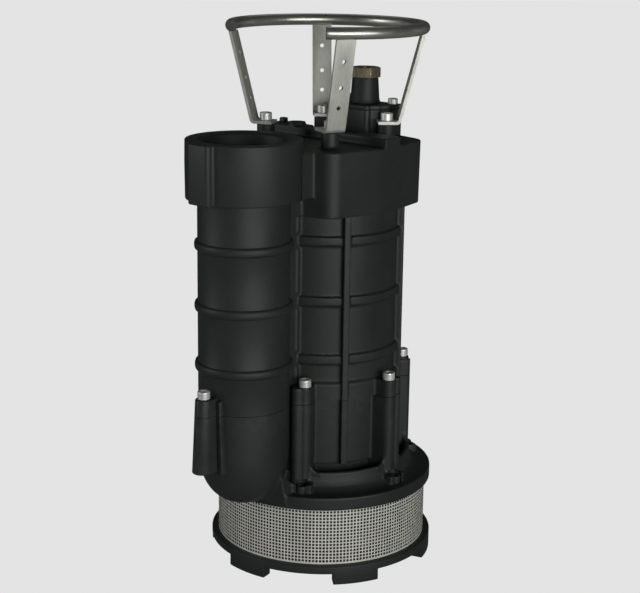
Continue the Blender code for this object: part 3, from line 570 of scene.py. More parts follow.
def eased(points, radius, steps):
    """An open polyline with each of its corners rounded to this radius, or to what its sides allow."""
    made = [points[0]]
    for before, point, after in zip(points, points[1:], points[2:]):
        here = Vector(point)
        back = Vector(before) - here
        ahead = Vector(after) - here
        bend = back.angle(ahead)
        if bend > NEARLY_STRAIGHT:
            made.append(point)
            continue
        reach = min(radius / math.tan(bend / 2.0), back.length * EASED_SHARE, ahead.length * EASED_SHARE)
        first = here + back.normalized() * reach
        last = here + ahead.normalized() * reach
        for step in range(steps + 1):
            part = step / steps
            on_curve = first * (1.0 - part) ** 2 + here * 2.0 * part * (1.0 - part) + last * part ** 2
            made.append(tuple(on_curve))
    made.append(points[-1])
    return made


def around(angle, radius):
    """The place at this angle, in degrees from the discharge side, and distance from the motor's axis."""
    return radius * math.sin(angle * DEGREE), -radius * math.cos(angle * DEGREE)


def boss(name, angle, circle, radius, root, bottom, top):
    """A round boss whose cheeks run in to the wall behind it."""
    outline = [(radius, -root), (-radius, -root)]
    outline += arc((0.0, -circle), radius, math.pi, FULL_TURN, 18)
    return swing(slab(name, outline, bottom, top), angle * DEGREE)


def bosses(bottom, top):
    """The six bolt bosses and the ridge that runs beside each."""
    made = [boss("boss", angle, BOLT_CIRCLE, BOSS_RADIUS, BOSS_ROOT, bottom, top) for angle in BOLT_ANGLES]
    for angle, circle, radius in RIDGES:
        for side in (1.0, -1.0):
            made.append(boss("ridge", side * angle, circle, radius, BOSS_ROOT, bottom, top))
    return made


def wall_ribs(bottom, top):
    """The upright ribs round the motor housing."""
    made = []
    for angle in RIB_ANGLES:
        rib = block("rib", (-RIB_WIDTH / 2.0, -RIB_OUTER, bottom), (RIB_WIDTH / 2.0, -TROUGH_RADIUS, top))
        made.append(swing(rib, angle * DEGREE))
    return made


def curved_block(name, inner, outer, bottom, top, first, last, steps):
    """A block bent round the motor's axis from one angle to another, in degrees from the discharge side."""
    start = (first - 90.0) * DEGREE
    end = (last - 90.0) * DEGREE
    outline = arc((0.0, 0.0), outer, start, end, steps) + arc((0.0, 0.0), inner, end, start, steps)
    return slab(name, outline, bottom, top)


def lug(root, bottom, top):
    """The bolt lug on the riser's outer side, wider and further out towards its foot."""
    piece = boss("lug", 0.0, LUG_OFFSET, LUG_RADIUS, root, bottom, top)
    for vertex in piece.data.vertices:
        x, y, height = vertex.co
        fall = LUG_TOP - height
        outer = min(y + root, 0.0) / (LUG_OFFSET - root)
        vertex.co.x = x * (1.0 + fall * LUG_DRAFT / LUG_RADIUS)
        vertex.co.y = y + fall * (LUG_LEAN + LUG_DRAFT) * outer
    return piece


def side_ribs(bottom, top):
    """The pair of ribs beside the lug: each leans away from it towards its foot."""
    made = []
    for side in (1.0, -1.0):
        low, high = sorted(side * width for width in SIDE_RIB_WIDTHS)
        rib = block("side_rib", (low, SIDE_RIB_DEPTHS[0], bottom), (high, SIDE_RIB_DEPTHS[1], top))
        for vertex in rib.data.vertices:
            vertex.co.x += side * (LUG_TOP - vertex.co.z) * SIDE_RIB_LEAN
            if vertex.co.z > top - 0.001 and vertex.co.y < -0.21:
                vertex.co.z -= SIDE_RIB_SLOPE
        made.append(rib)
    return made


def riser_wall(clearance, low, high):
    """The riser's outer side from its foot to its top, with its three round bands."""
    radius = RISER_RADIUS + clearance
    points = [(radius, low), (radius, low + 0.0085)]
    for height in reversed(BAND_HEIGHTS):
        points += [(radius + swell, height - away) for away, swell in RISER_BAND_SIDE]
        points.append((radius + RISER_BAND_SWELL, height))
        points += [(radius + swell, height + away) for away, swell in reversed(RISER_BAND_SIDE)]
    points += [(radius, high - 0.003), (radius, high - 0.001), (radius, high)]
    return points


def riser_room():
    """The room that the riser takes in the castings beside it."""
    wall = riser_wall(SEAM, CASING_HIGH[2] - SINK, COLLAR_LOW[2] + 0.010)
    return turn("riser_room", [(0.0, wall[0][1])] + wall + [(0.0, wall[-1][1])], 128, (0.0, RISER_Y))


def hexagon(across, centre=(0.0, 0.0), turned=0.0):
    """A hexagon by its width across flats."""
    radius = across / 2.0 / math.cos(math.pi / 6.0)
    return arc(centre, radius, turned, turned + FULL_TURN * 5.0 / 6.0, 5)


# Materials

# Lighter grey for convex edges: partly scuffed paint, partly a painted highlight.
SCUFFED_AND_HIGHLIT_PAINT = (0.09, 0.092, 0.088)


def node(tree, kind, inputs=None, **settings):
    """Adds a node: inputs are values or the sockets that feed them."""
    made = tree.nodes.new(kind)
    for key, value in settings.items():
        setattr(made, key, value)
    for key, value in (inputs or {}).items():
        if isinstance(value, bpy.types.NodeSocket):
            tree.links.new(value, made.inputs[key])
        else:
            made.inputs[key].default_value = value
    return made


def new_group(name, inputs, outputs):
    """A shader group with these number sockets, besides its Vector input."""
    group = bpy.data.node_groups.new(name, "ShaderNodeTree")
    group.interface.new_socket("Vector", in_out="INPUT", socket_type="NodeSocketVector")
    for key, value in inputs.items():
        socket = group.interface.new_socket(key, in_out="INPUT", socket_type="NodeSocketFloat")
        socket.default_value = value
    for key in outputs:
        group.interface.new_socket(key, in_out="OUTPUT", socket_type="NodeSocketFloat")
    return group, group.nodes.new("NodeGroupInput"), group.nodes.new("NodeGroupOutput")


def noise(tree, vector, scale, detail=2.0, roughness=0.5):
    """The grey of a noise texture, which runs from about 0 to 1."""
    return node(tree, "ShaderNodeTexNoise", {"Vector": vector, "Scale": scale, "Detail": detail,
                                             "Roughness": roughness}).outputs["Fac"]


def graded(tree, value, low, high, to_low=0.0, to_high=1.0):
    """Value from low to high, made to run from to_low to to_high."""
    return node(tree, "ShaderNodeMapRange", {"Value": value, "From Min": low, "From Max": high,
                                             "To Min": to_low, "To Max": to_high}).outputs["Result"]


def worked_out(tree, operation, first, second):
    """The result of one operation on two values."""
    return node(tree, "ShaderNodeMath", {0: first, 1: second}, operation=operation).outputs[0]


def cast_skin_group():
    """Sand grain, soft waves and scattered pits of a painted casting."""
    name = "cast_skin"
    if name in bpy.data.node_groups:
        return bpy.data.node_groups[name]
    group, start, end = new_group(name, {"Grain": 420.0, "Waves": 26.0}, ("Height", "Tone"))
    place = start.outputs["Vector"]
    fine = noise(group, place, start.outputs["Grain"], 3.0, 0.6)
    wave = noise(group, place, start.outputs["Waves"], 2.0, 0.5)
    tone = noise(group, place, worked_out(group, "MULTIPLY", start.outputs["Waves"], 0.35), 4.0, 0.62)
    cells = node(group, "ShaderNodeTexVoronoi", {"Vector": place, "Scale": 95.0}).outputs["Distance"]
    pits = graded(group, cells, 0.16, 0.03)
    spread = graded(group, noise(group, place, 17.0, 2.0, 0.5), 0.56, 0.66)
    pits = worked_out(group, "MULTIPLY", pits, spread)
    height = worked_out(group, "ADD", worked_out(group, "MULTIPLY", fine, 0.45),
                        worked_out(group, "MULTIPLY", wave, 2.4))
    height = worked_out(group, "SUBTRACT", height, worked_out(group, "MULTIPLY", pits, 0.8))
    group.links.new(height, end.inputs["Height"])
    group.links.new(graded(group, tone, 0.32, 0.68), end.inputs["Tone"])
    return group


def brushed_group():
    """Fine scratches along one way."""
    name = "brushed_metal"
    if name in bpy.data.node_groups:
        return bpy.data.node_groups[name]
    group, start, end = new_group(name, {"Scratches": 900.0}, ("Height", "Streaks"))
    place = start.outputs["Vector"]
    lines = noise(group, place, start.outputs["Scratches"], 2.0, 0.7)
    broad = noise(group, place, worked_out(group, "MULTIPLY", start.outputs["Scratches"], 0.22), 2.0, 0.5)
    streaks = worked_out(group, "ADD", worked_out(group, "MULTIPLY", lines, 0.6),
                         worked_out(group, "MULTIPLY", broad, 0.4))
    group.links.new(streaks, end.inputs["Height"])
    group.links.new(graded(group, streaks, 0.36, 0.64), end.inputs["Streaks"])
    return group


def scuffs_and_highlight_group():
    """Where a convex edge is lighter, broken up by noise: partly scuffed paint, partly a painted highlight
    along the edge.
    """
    name = "edge_wear"
    if name in bpy.data.node_groups:
        return bpy.data.node_groups[name]
    group, start, end = new_group(name, {"Reach": 0.53, "Breaks": 60.0}, ("ScuffsAndHighlight",))
    point = node(group, "ShaderNodeNewGeometry").outputs["Pointiness"]
    high = worked_out(group, "ADD", start.outputs["Reach"], 0.05)
    edge = graded(group, point, start.outputs["Reach"], high)
    flaws = noise(group, start.outputs["Vector"], start.outputs["Breaks"], 4.0, 0.6)
    breaks = graded(group, flaws, 0.42, 0.62)
    group.links.new(worked_out(group, "MULTIPLY", edge, breaks), end.inputs["ScuffsAndHighlight"])
    return group


def blank_material(name):
    """A new material, its tree, its shader and the coordinates of the object that wears it."""
    material = bpy.data.materials.new(name)
    material.use_nodes = True
    tree = material.node_tree
    shader = tree.nodes["Principled BSDF"]
    place = node(tree, "ShaderNodeTexCoord").outputs["Object"]
    return material, tree, shader, place


def colour_mix(tree, factor, first, second):
    """The first colour where the factor is 0, the second where it is 1."""
    mixer = node(tree, "ShaderNodeMix", data_type="RGBA")
    for socket, value in ((mixer.inputs[0], factor), (mixer.inputs[6], first), (mixer.inputs[7], second)):
        if isinstance(value, bpy.types.NodeSocket):
            tree.links.new(value, socket)
        elif socket.type == "RGBA":
            socket.default_value = (*value[:3], 1.0)
        else:
            socket.default_value = value
    return mixer.outputs[2]


def painted_iron(name, grain=420.0, waves=26.0):
    """Black satin paint over a sand casting."""
    if name in bpy.data.materials:
        return bpy.data.materials[name]
    paint = bpy.context.scene.pump_paint
    material, tree, shader, place = blank_material(name)
    skin = node(tree, "ShaderNodeGroup", node_tree=cast_skin_group())
    tree.links.new(place, skin.inputs["Vector"])
    skin.inputs["Grain"].default_value = grain
    skin.inputs["Waves"].default_value = waves
    scuffs_and_highlight = node(tree, "ShaderNodeGroup", node_tree=scuffs_and_highlight_group())
    tree.links.new(place, scuffs_and_highlight.inputs["Vector"])
    dark = [channel * 0.86 for channel in paint.colour]
    light = [channel * 1.14 for channel in paint.colour]
    tone = colour_mix(tree, skin.outputs["Tone"], dark, light)
    upward = node(tree, "ShaderNodeSeparateXYZ",
                  {0: node(tree, "ShaderNodeNewGeometry").outputs["Normal"]}).outputs["Z"]
    settled = graded(tree, upward, 0.55, 1.0, 0.0, 0.05)
    patches = graded(tree, noise(tree, place, 34.0, 5.0, 0.65), 0.45, 0.75)
    dust = worked_out(tree, "MULTIPLY", settled, patches)
    handled = graded(tree, noise(tree, place, 9.0, 5.0, 0.6), 0.48, 0.70)
    film = worked_out(tree, "MULTIPLY", handled, 0.03)
    dulled = colour_mix(tree, worked_out(tree, "ADD", dust, film), tone, paint.dust_colour)
    # Convex edges turn lighter grey: partly scuffed paint, partly a painted highlight along each edge.
    scuff_and_highlight_share = worked_out(tree, "MULTIPLY", scuffs_and_highlight.outputs["ScuffsAndHighlight"], 0.22)
    scuffed_and_highlit_colour = colour_mix(tree, scuff_and_highlight_share, dulled, SCUFFED_AND_HIGHLIT_PAINT)
    tree.links.new(scuffed_and_highlit_colour, shader.inputs["Base Color"])
    rough = graded(tree, skin.outputs["Tone"], 0.0, 1.0, paint.roughness - 0.04, paint.roughness + 0.06)
    tree.links.new(rough, shader.inputs["Roughness"])
    relief = node(tree, "ShaderNodeBump", {"Strength": 0.4, "Distance": paint.grain,
                                           "Height": skin.outputs["Height"]})
    tree.links.new(relief.outputs["Normal"], shader.inputs["Normal"])
    shader.inputs["Specular IOR Level"].default_value = 0.30
    return material


def brushed_steel(name, colour, stretch, roughness, scratches, soiled, bump=0.00002, metal_share=0.6):
    """Stainless steel with scratches along the way in which stretch is small."""
    if name in bpy.data.materials:
        return bpy.data.materials[name]
    material, tree, shader, place = blank_material(name)
    drawn = node(tree, "ShaderNodeMapping", {"Vector": place, "Scale": stretch}).outputs["Vector"]
    metal = node(tree, "ShaderNodeGroup", node_tree=brushed_group())
    shader.inputs["Metallic"].default_value = metal_share
    tree.links.new(drawn, metal.inputs["Vector"])
    metal.inputs["Scratches"].default_value = scratches
    stains = graded(tree, noise(tree, place, 28.0, 5.0, 0.62), 0.46, 0.74)
    streaks = metal.outputs["Streaks"]
    light = colour_mix(tree, streaks, [c * 0.90 for c in colour], [min(c * 1.08, 1.0) for c in colour])
    dull = colour_mix(tree, worked_out(tree, "MULTIPLY", stains, soiled), light, [c * 0.62 for c in colour])
    tree.links.new(dull, shader.inputs["Base Color"])
    rough = worked_out(tree, "ADD", graded(tree, streaks, 0.0, 1.0, roughness - 0.05, roughness + 0.07),
                       worked_out(tree, "MULTIPLY", stains, 0.10))
    tree.links.new(rough, shader.inputs["Roughness"])
    relief = node(tree, "ShaderNodeBump", {"Strength": 0.4, "Distance": bump,
                                           "Height": metal.outputs["Height"]})
    tree.links.new(relief.outputs["Normal"], shader.inputs["Normal"])
    return material


# Pieces

class PUMP_OT_base_plate(bpy.types.Operator):
    """Model the base plate and its six feet"""

    bl_idname = "pump.base_plate"
    bl_label = "Base Plate"

    def execute(self, context):
        top = BASE_HIGH[2]
        profile = [(0.0, PLATE_BOTTOM), (FOOT_INNER_RADIUS, PLATE_BOTTOM), (BASE_RADIUS, PLATE_BOTTOM),
                   (BASE_RADIUS, top), (PLATE_SEAT_RADIUS, top), (0.0, top)]
        plate = turn("base_plate_casting", profile, 240)
        edit(plate)

        def under_a_foot(middle, normal):
            angle = math.atan2(middle.x, -middle.y) % FOOT_SPACING
            near = min(angle, FOOT_SPACING - angle) < FOOT_HALF_ANGLE
            return near and normal.z < -0.9 and middle.xy.length > FOOT_INNER_RADIUS

        mark_faces(plate, under_a_foot)
        bpy.ops.mesh.extrude_region_move(TRANSFORM_OT_translate={"value": (0.0, 0.0, -PLATE_BOTTOM)})
        close_up(plate)
        rounded(plate, 0.0013, 3, 40.0)
        finished(plate, painted_iron("paint_base_plate", 380.0, 24.0), "black_casting", "base_plate")
        return {"FINISHED"}


class PUMP_OT_strainer_screen(bpy.types.Operator):
    """Punch the strainer's holes in a flat sheet and roll it up"""

    bl_idname = "pump.strainer_screen"
    bl_label = "Strainer Screen"

    def execute(self, context):
        screen = context.scene.pump_screen
        radius = SCREEN_HIGH[0]
        low = SCREEN_LOW[2]
        high = SCREEN_HIGH[2]
        pitch = FULL_TURN * radius / screen.columns
        margin = (high - low - pitch * screen.rows) / 2.0
        last_row = screen.rows + 2
        put_down()
        bpy.ops.mesh.primitive_grid_add(x_subdivisions=screen.columns, y_subdivisions=last_row, size=2.0)
        sheet = context.object
        sheet.name = "strainer_sheet"
        for vertex in sheet.data.vertices:
            row = round((vertex.co.y + 1.0) / 2.0 * last_row)
            up = low + margin + (row - 1) * pitch
            up = low if row == 0 else high if row == last_row else up
            vertex.co.x *= math.pi * radius
            vertex.co.y = up
        edit(sheet)
        mark_faces(sheet, lambda middle, normal: low + margin < middle.y < high - margin)
        bpy.ops.mesh.inset(thickness=(pitch - screen.hole) / 2.0, depth=0.0, use_individual=True)
        bpy.ops.mesh.delete(type="FACE")
        bpy.ops.object.mode_set(mode="OBJECT")
        for vertex in sheet.data.vertices:
            angle = vertex.co.x / radius
            vertex.co = (radius * math.sin(angle), -radius * math.cos(angle), vertex.co.y)
        pick_up(sheet)
        bpy.ops.object.mode_set(mode="EDIT")
        bpy.ops.mesh.select_all(action="SELECT")
        bpy.ops.mesh.remove_doubles(threshold=0.00002)
        bpy.ops.object.mode_set(mode="OBJECT")
        middle = sheet.data.polygons[0]
        outward = middle.normal.dot(Vector((middle.center.x, middle.center.y, 0.0))) > 0.0
        worked(sheet, "SOLIDIFY", thickness=screen.thickness, offset=-1.0 if outward else 1.0)
        upright_grain = (1.0, 1.0, 0.06)
        steel = brushed_steel("screen_sheet", screen.colour, upright_grain, roughness=0.50, scratches=260.0,
                              soiled=0.10, metal_share=0.25)
        finished(sheet, steel, "strainer_steel", "strainer_screen", angle=30.0)
        # Painted shade: the sheet's inner faces and hole walls get a nearly black copy of the steel, so that
        # the holes read dark.
        inside = brushed_steel("screen_inside", [c * 0.03 for c in screen.colour], upright_grain,
                               roughness=0.70, scratches=260.0, soiled=0.6, metal_share=0.0)
        sheet.data.materials.append(inside)
        # Faces that do not look outwards carry the painted shade.
        for face in sheet.data.polygons:
            outwards = Vector((face.center.x, face.center.y - AXIS_Y, 0.0)).normalized()
            face.material_index = 0 if face.normal.dot(outwards) > 0.5 else 1
        return {"FINISHED"}


class PUMP_OT_pump_casing(bpy.types.Operator):
    """Cast the pump casing: flange, lip, bosses, elbow and lug"""

    bl_idname = "pump.pump_casing"
    bl_label = "Pump Casing"

    def execute(self, context):
        joint = CASING_HIGH[2]
        top = joint + TRIM
        low = CASING_LOW[2]
        wall = [(0.0, low), (SUCTION_RADIUS, low), (SUCTION_RADIUS, FLANGE_BOTTOM),
                (FLANGE_RADIUS, FLANGE_BOTTOM), (FLANGE_RADIUS, FLANGE_TOP), *LIP_OUTLINE,
                (LIP_INNER_RADIUS, LIP_TOP), (LIP_INNER_RADIUS, TROUGH_FLOOR),
                (TROUGH_RADIUS, TROUGH_FLOOR), (TROUGH_RADIUS, WALL_BOTTOM),
                (WALL_RADIUS, WALL_BOTTOM), (WALL_RADIUS, top), (0.0, top)]
        shells = [turn("casing_body", wall, 192)]
        shells += bosses(FLANGE_TOP - SINK, top)
        shells += wall_ribs(WALL_BOTTOM + 0.0005, top)
        shells.append(self.elbow(top))
        shells.append(block("web", (-WEB_HALF_WIDTH, RISER_Y, FLANGE_TOP - SINK),
                            (WEB_HALF_WIDTH, WEB_ROOT, top)))
        shells += [self.gusset(1.0), self.gusset(-1.0)]
        shells += [self.rim(angle) for angle in BOLT_ANGLES]
        shells += [self.lip_fillet(side * angle, side * flank)
                   for angle, flank in FLANKS for side in (1.0, -1.0)]
        casing = cast("pump_casing_casting", shells)
        ears = [rounded(ear, *EAR_ROUNDING)
                for ear in (lug(LUG_ROOT, LUG_BOTTOM, top), *side_ribs(SIDE_RIB_BOTTOM, top))]
        grown(casing, *ears)
        trim(casing, joint - SEAM, joint + 2.0 * TRIM)
        tools = []
        for angle in BOLT_ANGLES:
            tools.append(rod("pocket", POCKET_RADIUS, POCKET_FLOOR, POCKET_TOP, 32,
                             around(angle, STRAINER_BOLT_CIRCLE)))
        cut_away(casing, joined("pockets", tools))
        finished(casing, painted_iron("paint_pump_casing"), "black_casting", "pump_casing")
        return {"FINISHED"}

    def elbow(self, top):
        """The riser's closed, rounded end."""
        profile = [(0.0, ELBOW_CENTRE - ELBOW_DEPTH)]
        steps = 24
        for index in range(1, steps):
            rise = index * QUARTER_TURN / steps
            profile.append((RISER_RADIUS * math.sin(rise) ** ELBOW_FULLNESS,
                            ELBOW_CENTRE - ELBOW_DEPTH * math.cos(rise) ** ELBOW_FULLNESS))
        profile += [(RISER_RADIUS, ELBOW_CENTRE), (RISER_RADIUS, top), (0.0, top)]
        return turn("elbow", profile, 128, (0.0, RISER_Y))

    def gusset(self, side):
        """The flat-sided wedge from the end of the flange up to the elbow."""
        outline = [(side * x, y) for x, y in GUSSET_FOOT]
        piece = slab("gusset", outline, FLANGE_BOTTOM, GUSSET_TOP)
        for vertex in piece.data.vertices:
            outer = abs(vertex.co.x) > 0.05
            front = vertex.co.y < -0.12
            if front and vertex.co.z > FLANGE_BOTTOM + 0.001:
                x, y, height = GUSSET_APEX if outer else GUSSET_INNER_APEX
                vertex.co = (side * x, y, height)
            elif front and not outer:
                vertex.co.z = GUSSET_FOOT_RISE
        return piece

    def rim(self, angle):
        """The rim round a strainer screw, open on its outer side."""
        outline = arc((0.0, -STRAINER_BOLT_CIRCLE), RIM_RADIUS, -RIM_OPENING, math.pi + RIM_OPENING, 28)
        return swing(slab("rim", outline, FLANGE_TOP - SINK, RIM_TOP), angle * DEGREE)

    def lip_fillet(self, angle, flank):
        """The round corner where the lip runs up the side of a boss."""
        radius = bpy.context.scene.pump_casting.fillet
        side = 1.0 if flank > 0.0 else -1.0
        outline = [(-SINK, -SINK), (radius, -SINK), (radius, 0.0)]
        outline += arc((radius, radius), radius, -QUARTER_TURN, -math.pi, 10)[1:] + [(-SINK, radius)]
        outline = [(flank + side * x, LIP_TOP - 0.0006 + y * LIP_FILLET_RISE) for x, y in outline]
        return swing(upright_slab("lip_fillet", outline, *LIP_FILLET_DEPTH), angle * DEGREE)


class PUMP_OT_motor_housing(bpy.types.Operator):
    """Cast the motor housing with its bands, ribs and bosses"""

    bl_idname = "pump.motor_housing"
    bl_label = "Motor Housing"

    def execute(self, context):
        joint = HOUSING_LOW[2]
        cover_joint = HOUSING_HIGH[2]
        low = joint - TRIM
        top = cover_joint + TRIM
        wall = [(0.0, low), (MOTOR_FLANGE_RADIUS, low), (MOTOR_FLANGE_RADIUS, MOTOR_FLANGE_TOP - 0.0008),
                (MOTOR_FLANGE_RADIUS - 0.001, MOTOR_FLANGE_TOP), (MOTOR_RADIUS, MOTOR_FLANGE_TOP + 0.0015),
                (MOTOR_RADIUS, top), (0.0, top)]
        shells = [turn("housing_body", wall, 256)]
        shells += bosses(low, MOTOR_FLANGE_TOP)
        shells += wall_ribs(low, top)
        shells.append(block("web", (-WEB_HALF_WIDTH, RISER_Y, low), (WEB_HALF_WIDTH, WEB_ROOT, top)))
        for height in BAND_HEIGHTS:
            for first, last in BAND_SPANS:
                steps = round((last - first) / 3.0)
                for side in (1.0, -1.0):
                    shells.append(curved_block("band", MOTOR_RADIUS - BAND_ROOT, MOTOR_RADIUS + BAND_REACH,
                                               height - BAND_HALF, height + BAND_HALF,
                                               side * first, side * last, steps))
        shells += self.web_beads(top)
        housing = cast("motor_housing_casting", shells)
        trim(housing, joint - 2.0 * TRIM, joint + SEAM)
        trim(housing, cover_joint, cover_joint + 2.0 * TRIM)
        cut_away(housing, riser_room())
        finished(housing, painted_iron("paint_motor_housing"), "black_casting", "motor_housing")
        return {"FINISHED"}

    def web_beads(self, top):
        """The beads down the web's corners, which stop short of each band."""
        ends = [top - SINK]
        for height in BAND_HEIGHTS:
            ends += [height + BEAD_GAP, height - BEAD_GAP]
        ends.append(MOTOR_FLANGE_TOP - SINK)
        made = []
        for high, low in zip(ends[0::2], ends[1::2]):
            for side in (1.0, -1.0):
                bead = block("bead", (-BEAD_HALF_WIDTH, -BEAD_REACH, low),
                             (BEAD_HALF_WIDTH, -TROUGH_RADIUS, high))
                made.append(swing(bead, side * BEAD_ANGLE * DEGREE))
        return made


class PUMP_OT_discharge_riser(bpy.types.Operator):
    """Turn the discharge riser and add its lug"""

    bl_idname = "pump.discharge_riser"
    bl_label = "Discharge Riser"

    def execute(self, context):
        low = HOUSING_LOW[2]
        high = COLLAR_LOW[2] - SEAM
        below = low - TRIM
        wall = riser_wall(0.0, below, high)
        section = [(BORE_RADIUS, below)] + wall + [(BORE_RADIUS, high)]
        riser = turn("discharge_riser_casting", section, ROUND_STEPS, (0.0, RISER_Y))
        head = rounded(lug(LUG_HEAD_ROOT, below, LUG_TOP), *EAR_ROUNDING)
        ribs = [rounded(rib, *EAR_ROUNDING) for rib in side_ribs(below, LUG_TOP)]
        grown(riser, head, *ribs)
        trim(riser, low - 2.0 * TRIM, low)
        cut_away(riser, rod("bore", BORE_RADIUS, low - 0.01, BORE_CLEARED, ROUND_STEPS, (0.0, RISER_Y)))
        paint = painted_iron("paint_discharge_riser")
        finished(riser, paint, "black_casting", "discharge_riser", angle=40.0)
        return {"FINISHED"}


class PUMP_OT_discharge_collar(bpy.types.Operator):
    """Cast the wide collar at the riser's mouth"""

    bl_idname = "pump.discharge_collar"
    bl_label = "Discharge Collar"

    def execute(self, context):
        low = COLLAR_LOW[2]
        top = COLLAR_HIGH[2]
        collar = shift(slab("discharge_collar_casting", self.outline(), low, top), (0.0, RISER_Y, 0.0))
        drafted(collar, COLLAR_PARTING, (0.0, RISER_Y), COLLAR_DRAFT)
        rounded(collar, 0.0015, 4, 50.0)
        shoulder = top - MOUTH_DEPTH
        profile = [(0.0, low - 0.001), (BORE_RADIUS, low - 0.001), (BORE_RADIUS, shoulder),
                   (MOUTH_RADIUS, shoulder), (MOUTH_RADIUS, top - 0.0036),
                   (MOUTH_RADIUS + 0.0006, top - 0.0027), (MOUTH_RADIUS + 0.0033, top - 0.0003),
                   (MOUTH_RADIUS + 0.0042, top), (MOUTH_RADIUS + 0.0042, top + 0.001), (0.0, top + 0.001)]
        cut_away(collar, turn("mouth_room", profile, ROUND_STEPS, (0.0, RISER_Y)))
        paint = painted_iron("paint_discharge_collar")
        finished(collar, paint, "black_casting", "discharge_collar", angle=40.0)
        return {"FINISHED"}

    def outline(self):
        """A circle with a flat pad on its outer side."""
        radius = (COLLAR_HIGH[0] - COLLAR_LOW[0]) / 2.0
        front = COLLAR_LOW[1] - AXIS_Y - RISER_Y
        across = PAD_HALF_WIDTH + PAD_FILLET
        hollow = (across, -math.sqrt((radius + PAD_FILLET) ** 2 - across ** 2))
        meeting = math.atan2(hollow[1], hollow[0])
        side = arc((0.0, 0.0), radius, QUARTER_TURN - 0.01, meeting, 72)
        side += arc(hollow, PAD_FILLET, meeting + math.pi, math.pi, 6)[1:]
        side += arc((PAD_HALF_WIDTH - PAD_CORNER, front + PAD_CORNER), PAD_CORNER, 0.0, -QUARTER_TURN, 6)
        return mirrored(side)


class PUMP_OT_top_cover(bpy.types.Operator):
    """Cast the top cover with its bridge, posts, plug boss and neck"""

    bl_idname = "pump.top_cover"
    bl_label = "Top Cover"

    def execute(self, context):
        low = COVER_LOW[2]
        body = slab("cover_body", self.outline(), low, BRIDGE_TOP)
        drafted(body, BRIDGE_TOP, (0.0, 0.0), COVER_DRAFT)
        high = BRIDGE_TOP + 0.01
        cut_away(body, block("front_step", (-CLEAR_BESIDE, -CLEAR_BESIDE, COVER_TOP),
                             (CLEAR_BESIDE, BRIDGE_FRONT, high)),
                 block("rear_step", (-CLEAR_BESIDE, BRIDGE_BACK, COVER_TOP),
                       (CLEAR_BESIDE, CLEAR_BESIDE, high)),
                 block("waist", (-WAIST_HALF_WIDTH, WAIST_FRONT, COVER_TOP),
                       (WAIST_HALF_WIDTH, BRIDGE_BACK + 0.004, high)))
        shells = [body, self.neck(NECK_HALF_WIDTH, COLLAR_LOW[2], COVER_TOP),
                  self.neck(LOWER_NECK_HALF_WIDTH, low, LOWER_NECK_TOP)]
        for angle in (-45.0, 45.0, -135.0, 135.0):
            shells.append(self.post(around(angle, POST_CIRCLE)))
        plug = [(0.0, COVER_TOP - 0.004), (PLUG_RADIUS, COVER_TOP - 0.004), (PLUG_RADIUS, COVER_TOP),
                (PLUG_RADIUS - 0.0008, COVER_TOP + 0.002), (PLUG_RADIUS - 0.0010, PLUG_TOP), (0.0, PLUG_TOP)]
        shells.append(turn("plug_boss", plug, 48, PLUG_PLACE))
        shells.append(block("ear", EAR_LOW, EAR_HIGH))
        cover = cast("top_cover_casting", shells)
        cut_away(cover, rod("collar_room", COLLAR_ROOM_RADIUS, COLLAR_LOW[2] - SEAM, CLEAR_ABOVE, ROUND_STEPS,
                            (0.0, RISER_Y)))
        cut_away(cover, riser_room())
        finished(cover, painted_iron("paint_top_cover"), "black_casting", "top_cover")
        return {"FINISHED"}

    def outline(self):
        """Four rounded corners joined by shallow round sides."""
        inside = COVER_SIDE_RADIUS - COVER_CORNER_RADIUS
        tangent = QUARTER_TURN / 2.0 - math.acos(inside / COVER_CORNER_CIRCLE)
        points = []
        for quarter in range(4):
            middle = quarter * QUARTER_TURN
            corner = middle + QUARTER_TURN / 2.0
            first = middle + tangent
            points += arc((0.0, 0.0), COVER_SIDE_RADIUS, middle - tangent, first, 12)
            centre = (COVER_CORNER_CIRCLE * math.cos(corner), COVER_CORNER_CIRCLE * math.sin(corner))
            points += arc(centre, COVER_CORNER_RADIUS, first, middle + QUARTER_TURN - tangent, 20)[1:-1]
        return points

    def neck(self, half_width, bottom, top):
        """The block that joins the cover to the riser's side, with a flared root."""
        root = half_width + NECK_FLARE
        side = [(root, NECK_ROOT)]
        side += arc((root, NECK_FLARE_START - NECK_FLARE), NECK_FLARE, QUARTER_TURN, math.pi, 12)
        side.append((half_width, NECK_FRONT))
        return slab("neck", mirrored(side), bottom, top)

    def post(self, place):
        """A round post for a handle strap, with a hollow round its foot."""
        top = COVER_HIGH[2]
        fillet = POST_FOOT_RADIUS - POST_RADIUS
        foot = [(0.0, COVER_TOP - 0.004), (POST_FOOT_RADIUS, COVER_TOP - 0.004)]
        foot.append((POST_FOOT_RADIUS, COVER_TOP))
        foot += arc((POST_FOOT_RADIUS, COVER_TOP + fillet), fillet, -QUARTER_TURN, -math.pi, 6)[1:]
        return turn("post", foot + [(POST_RADIUS, top), (0.0, top)], 64, place)


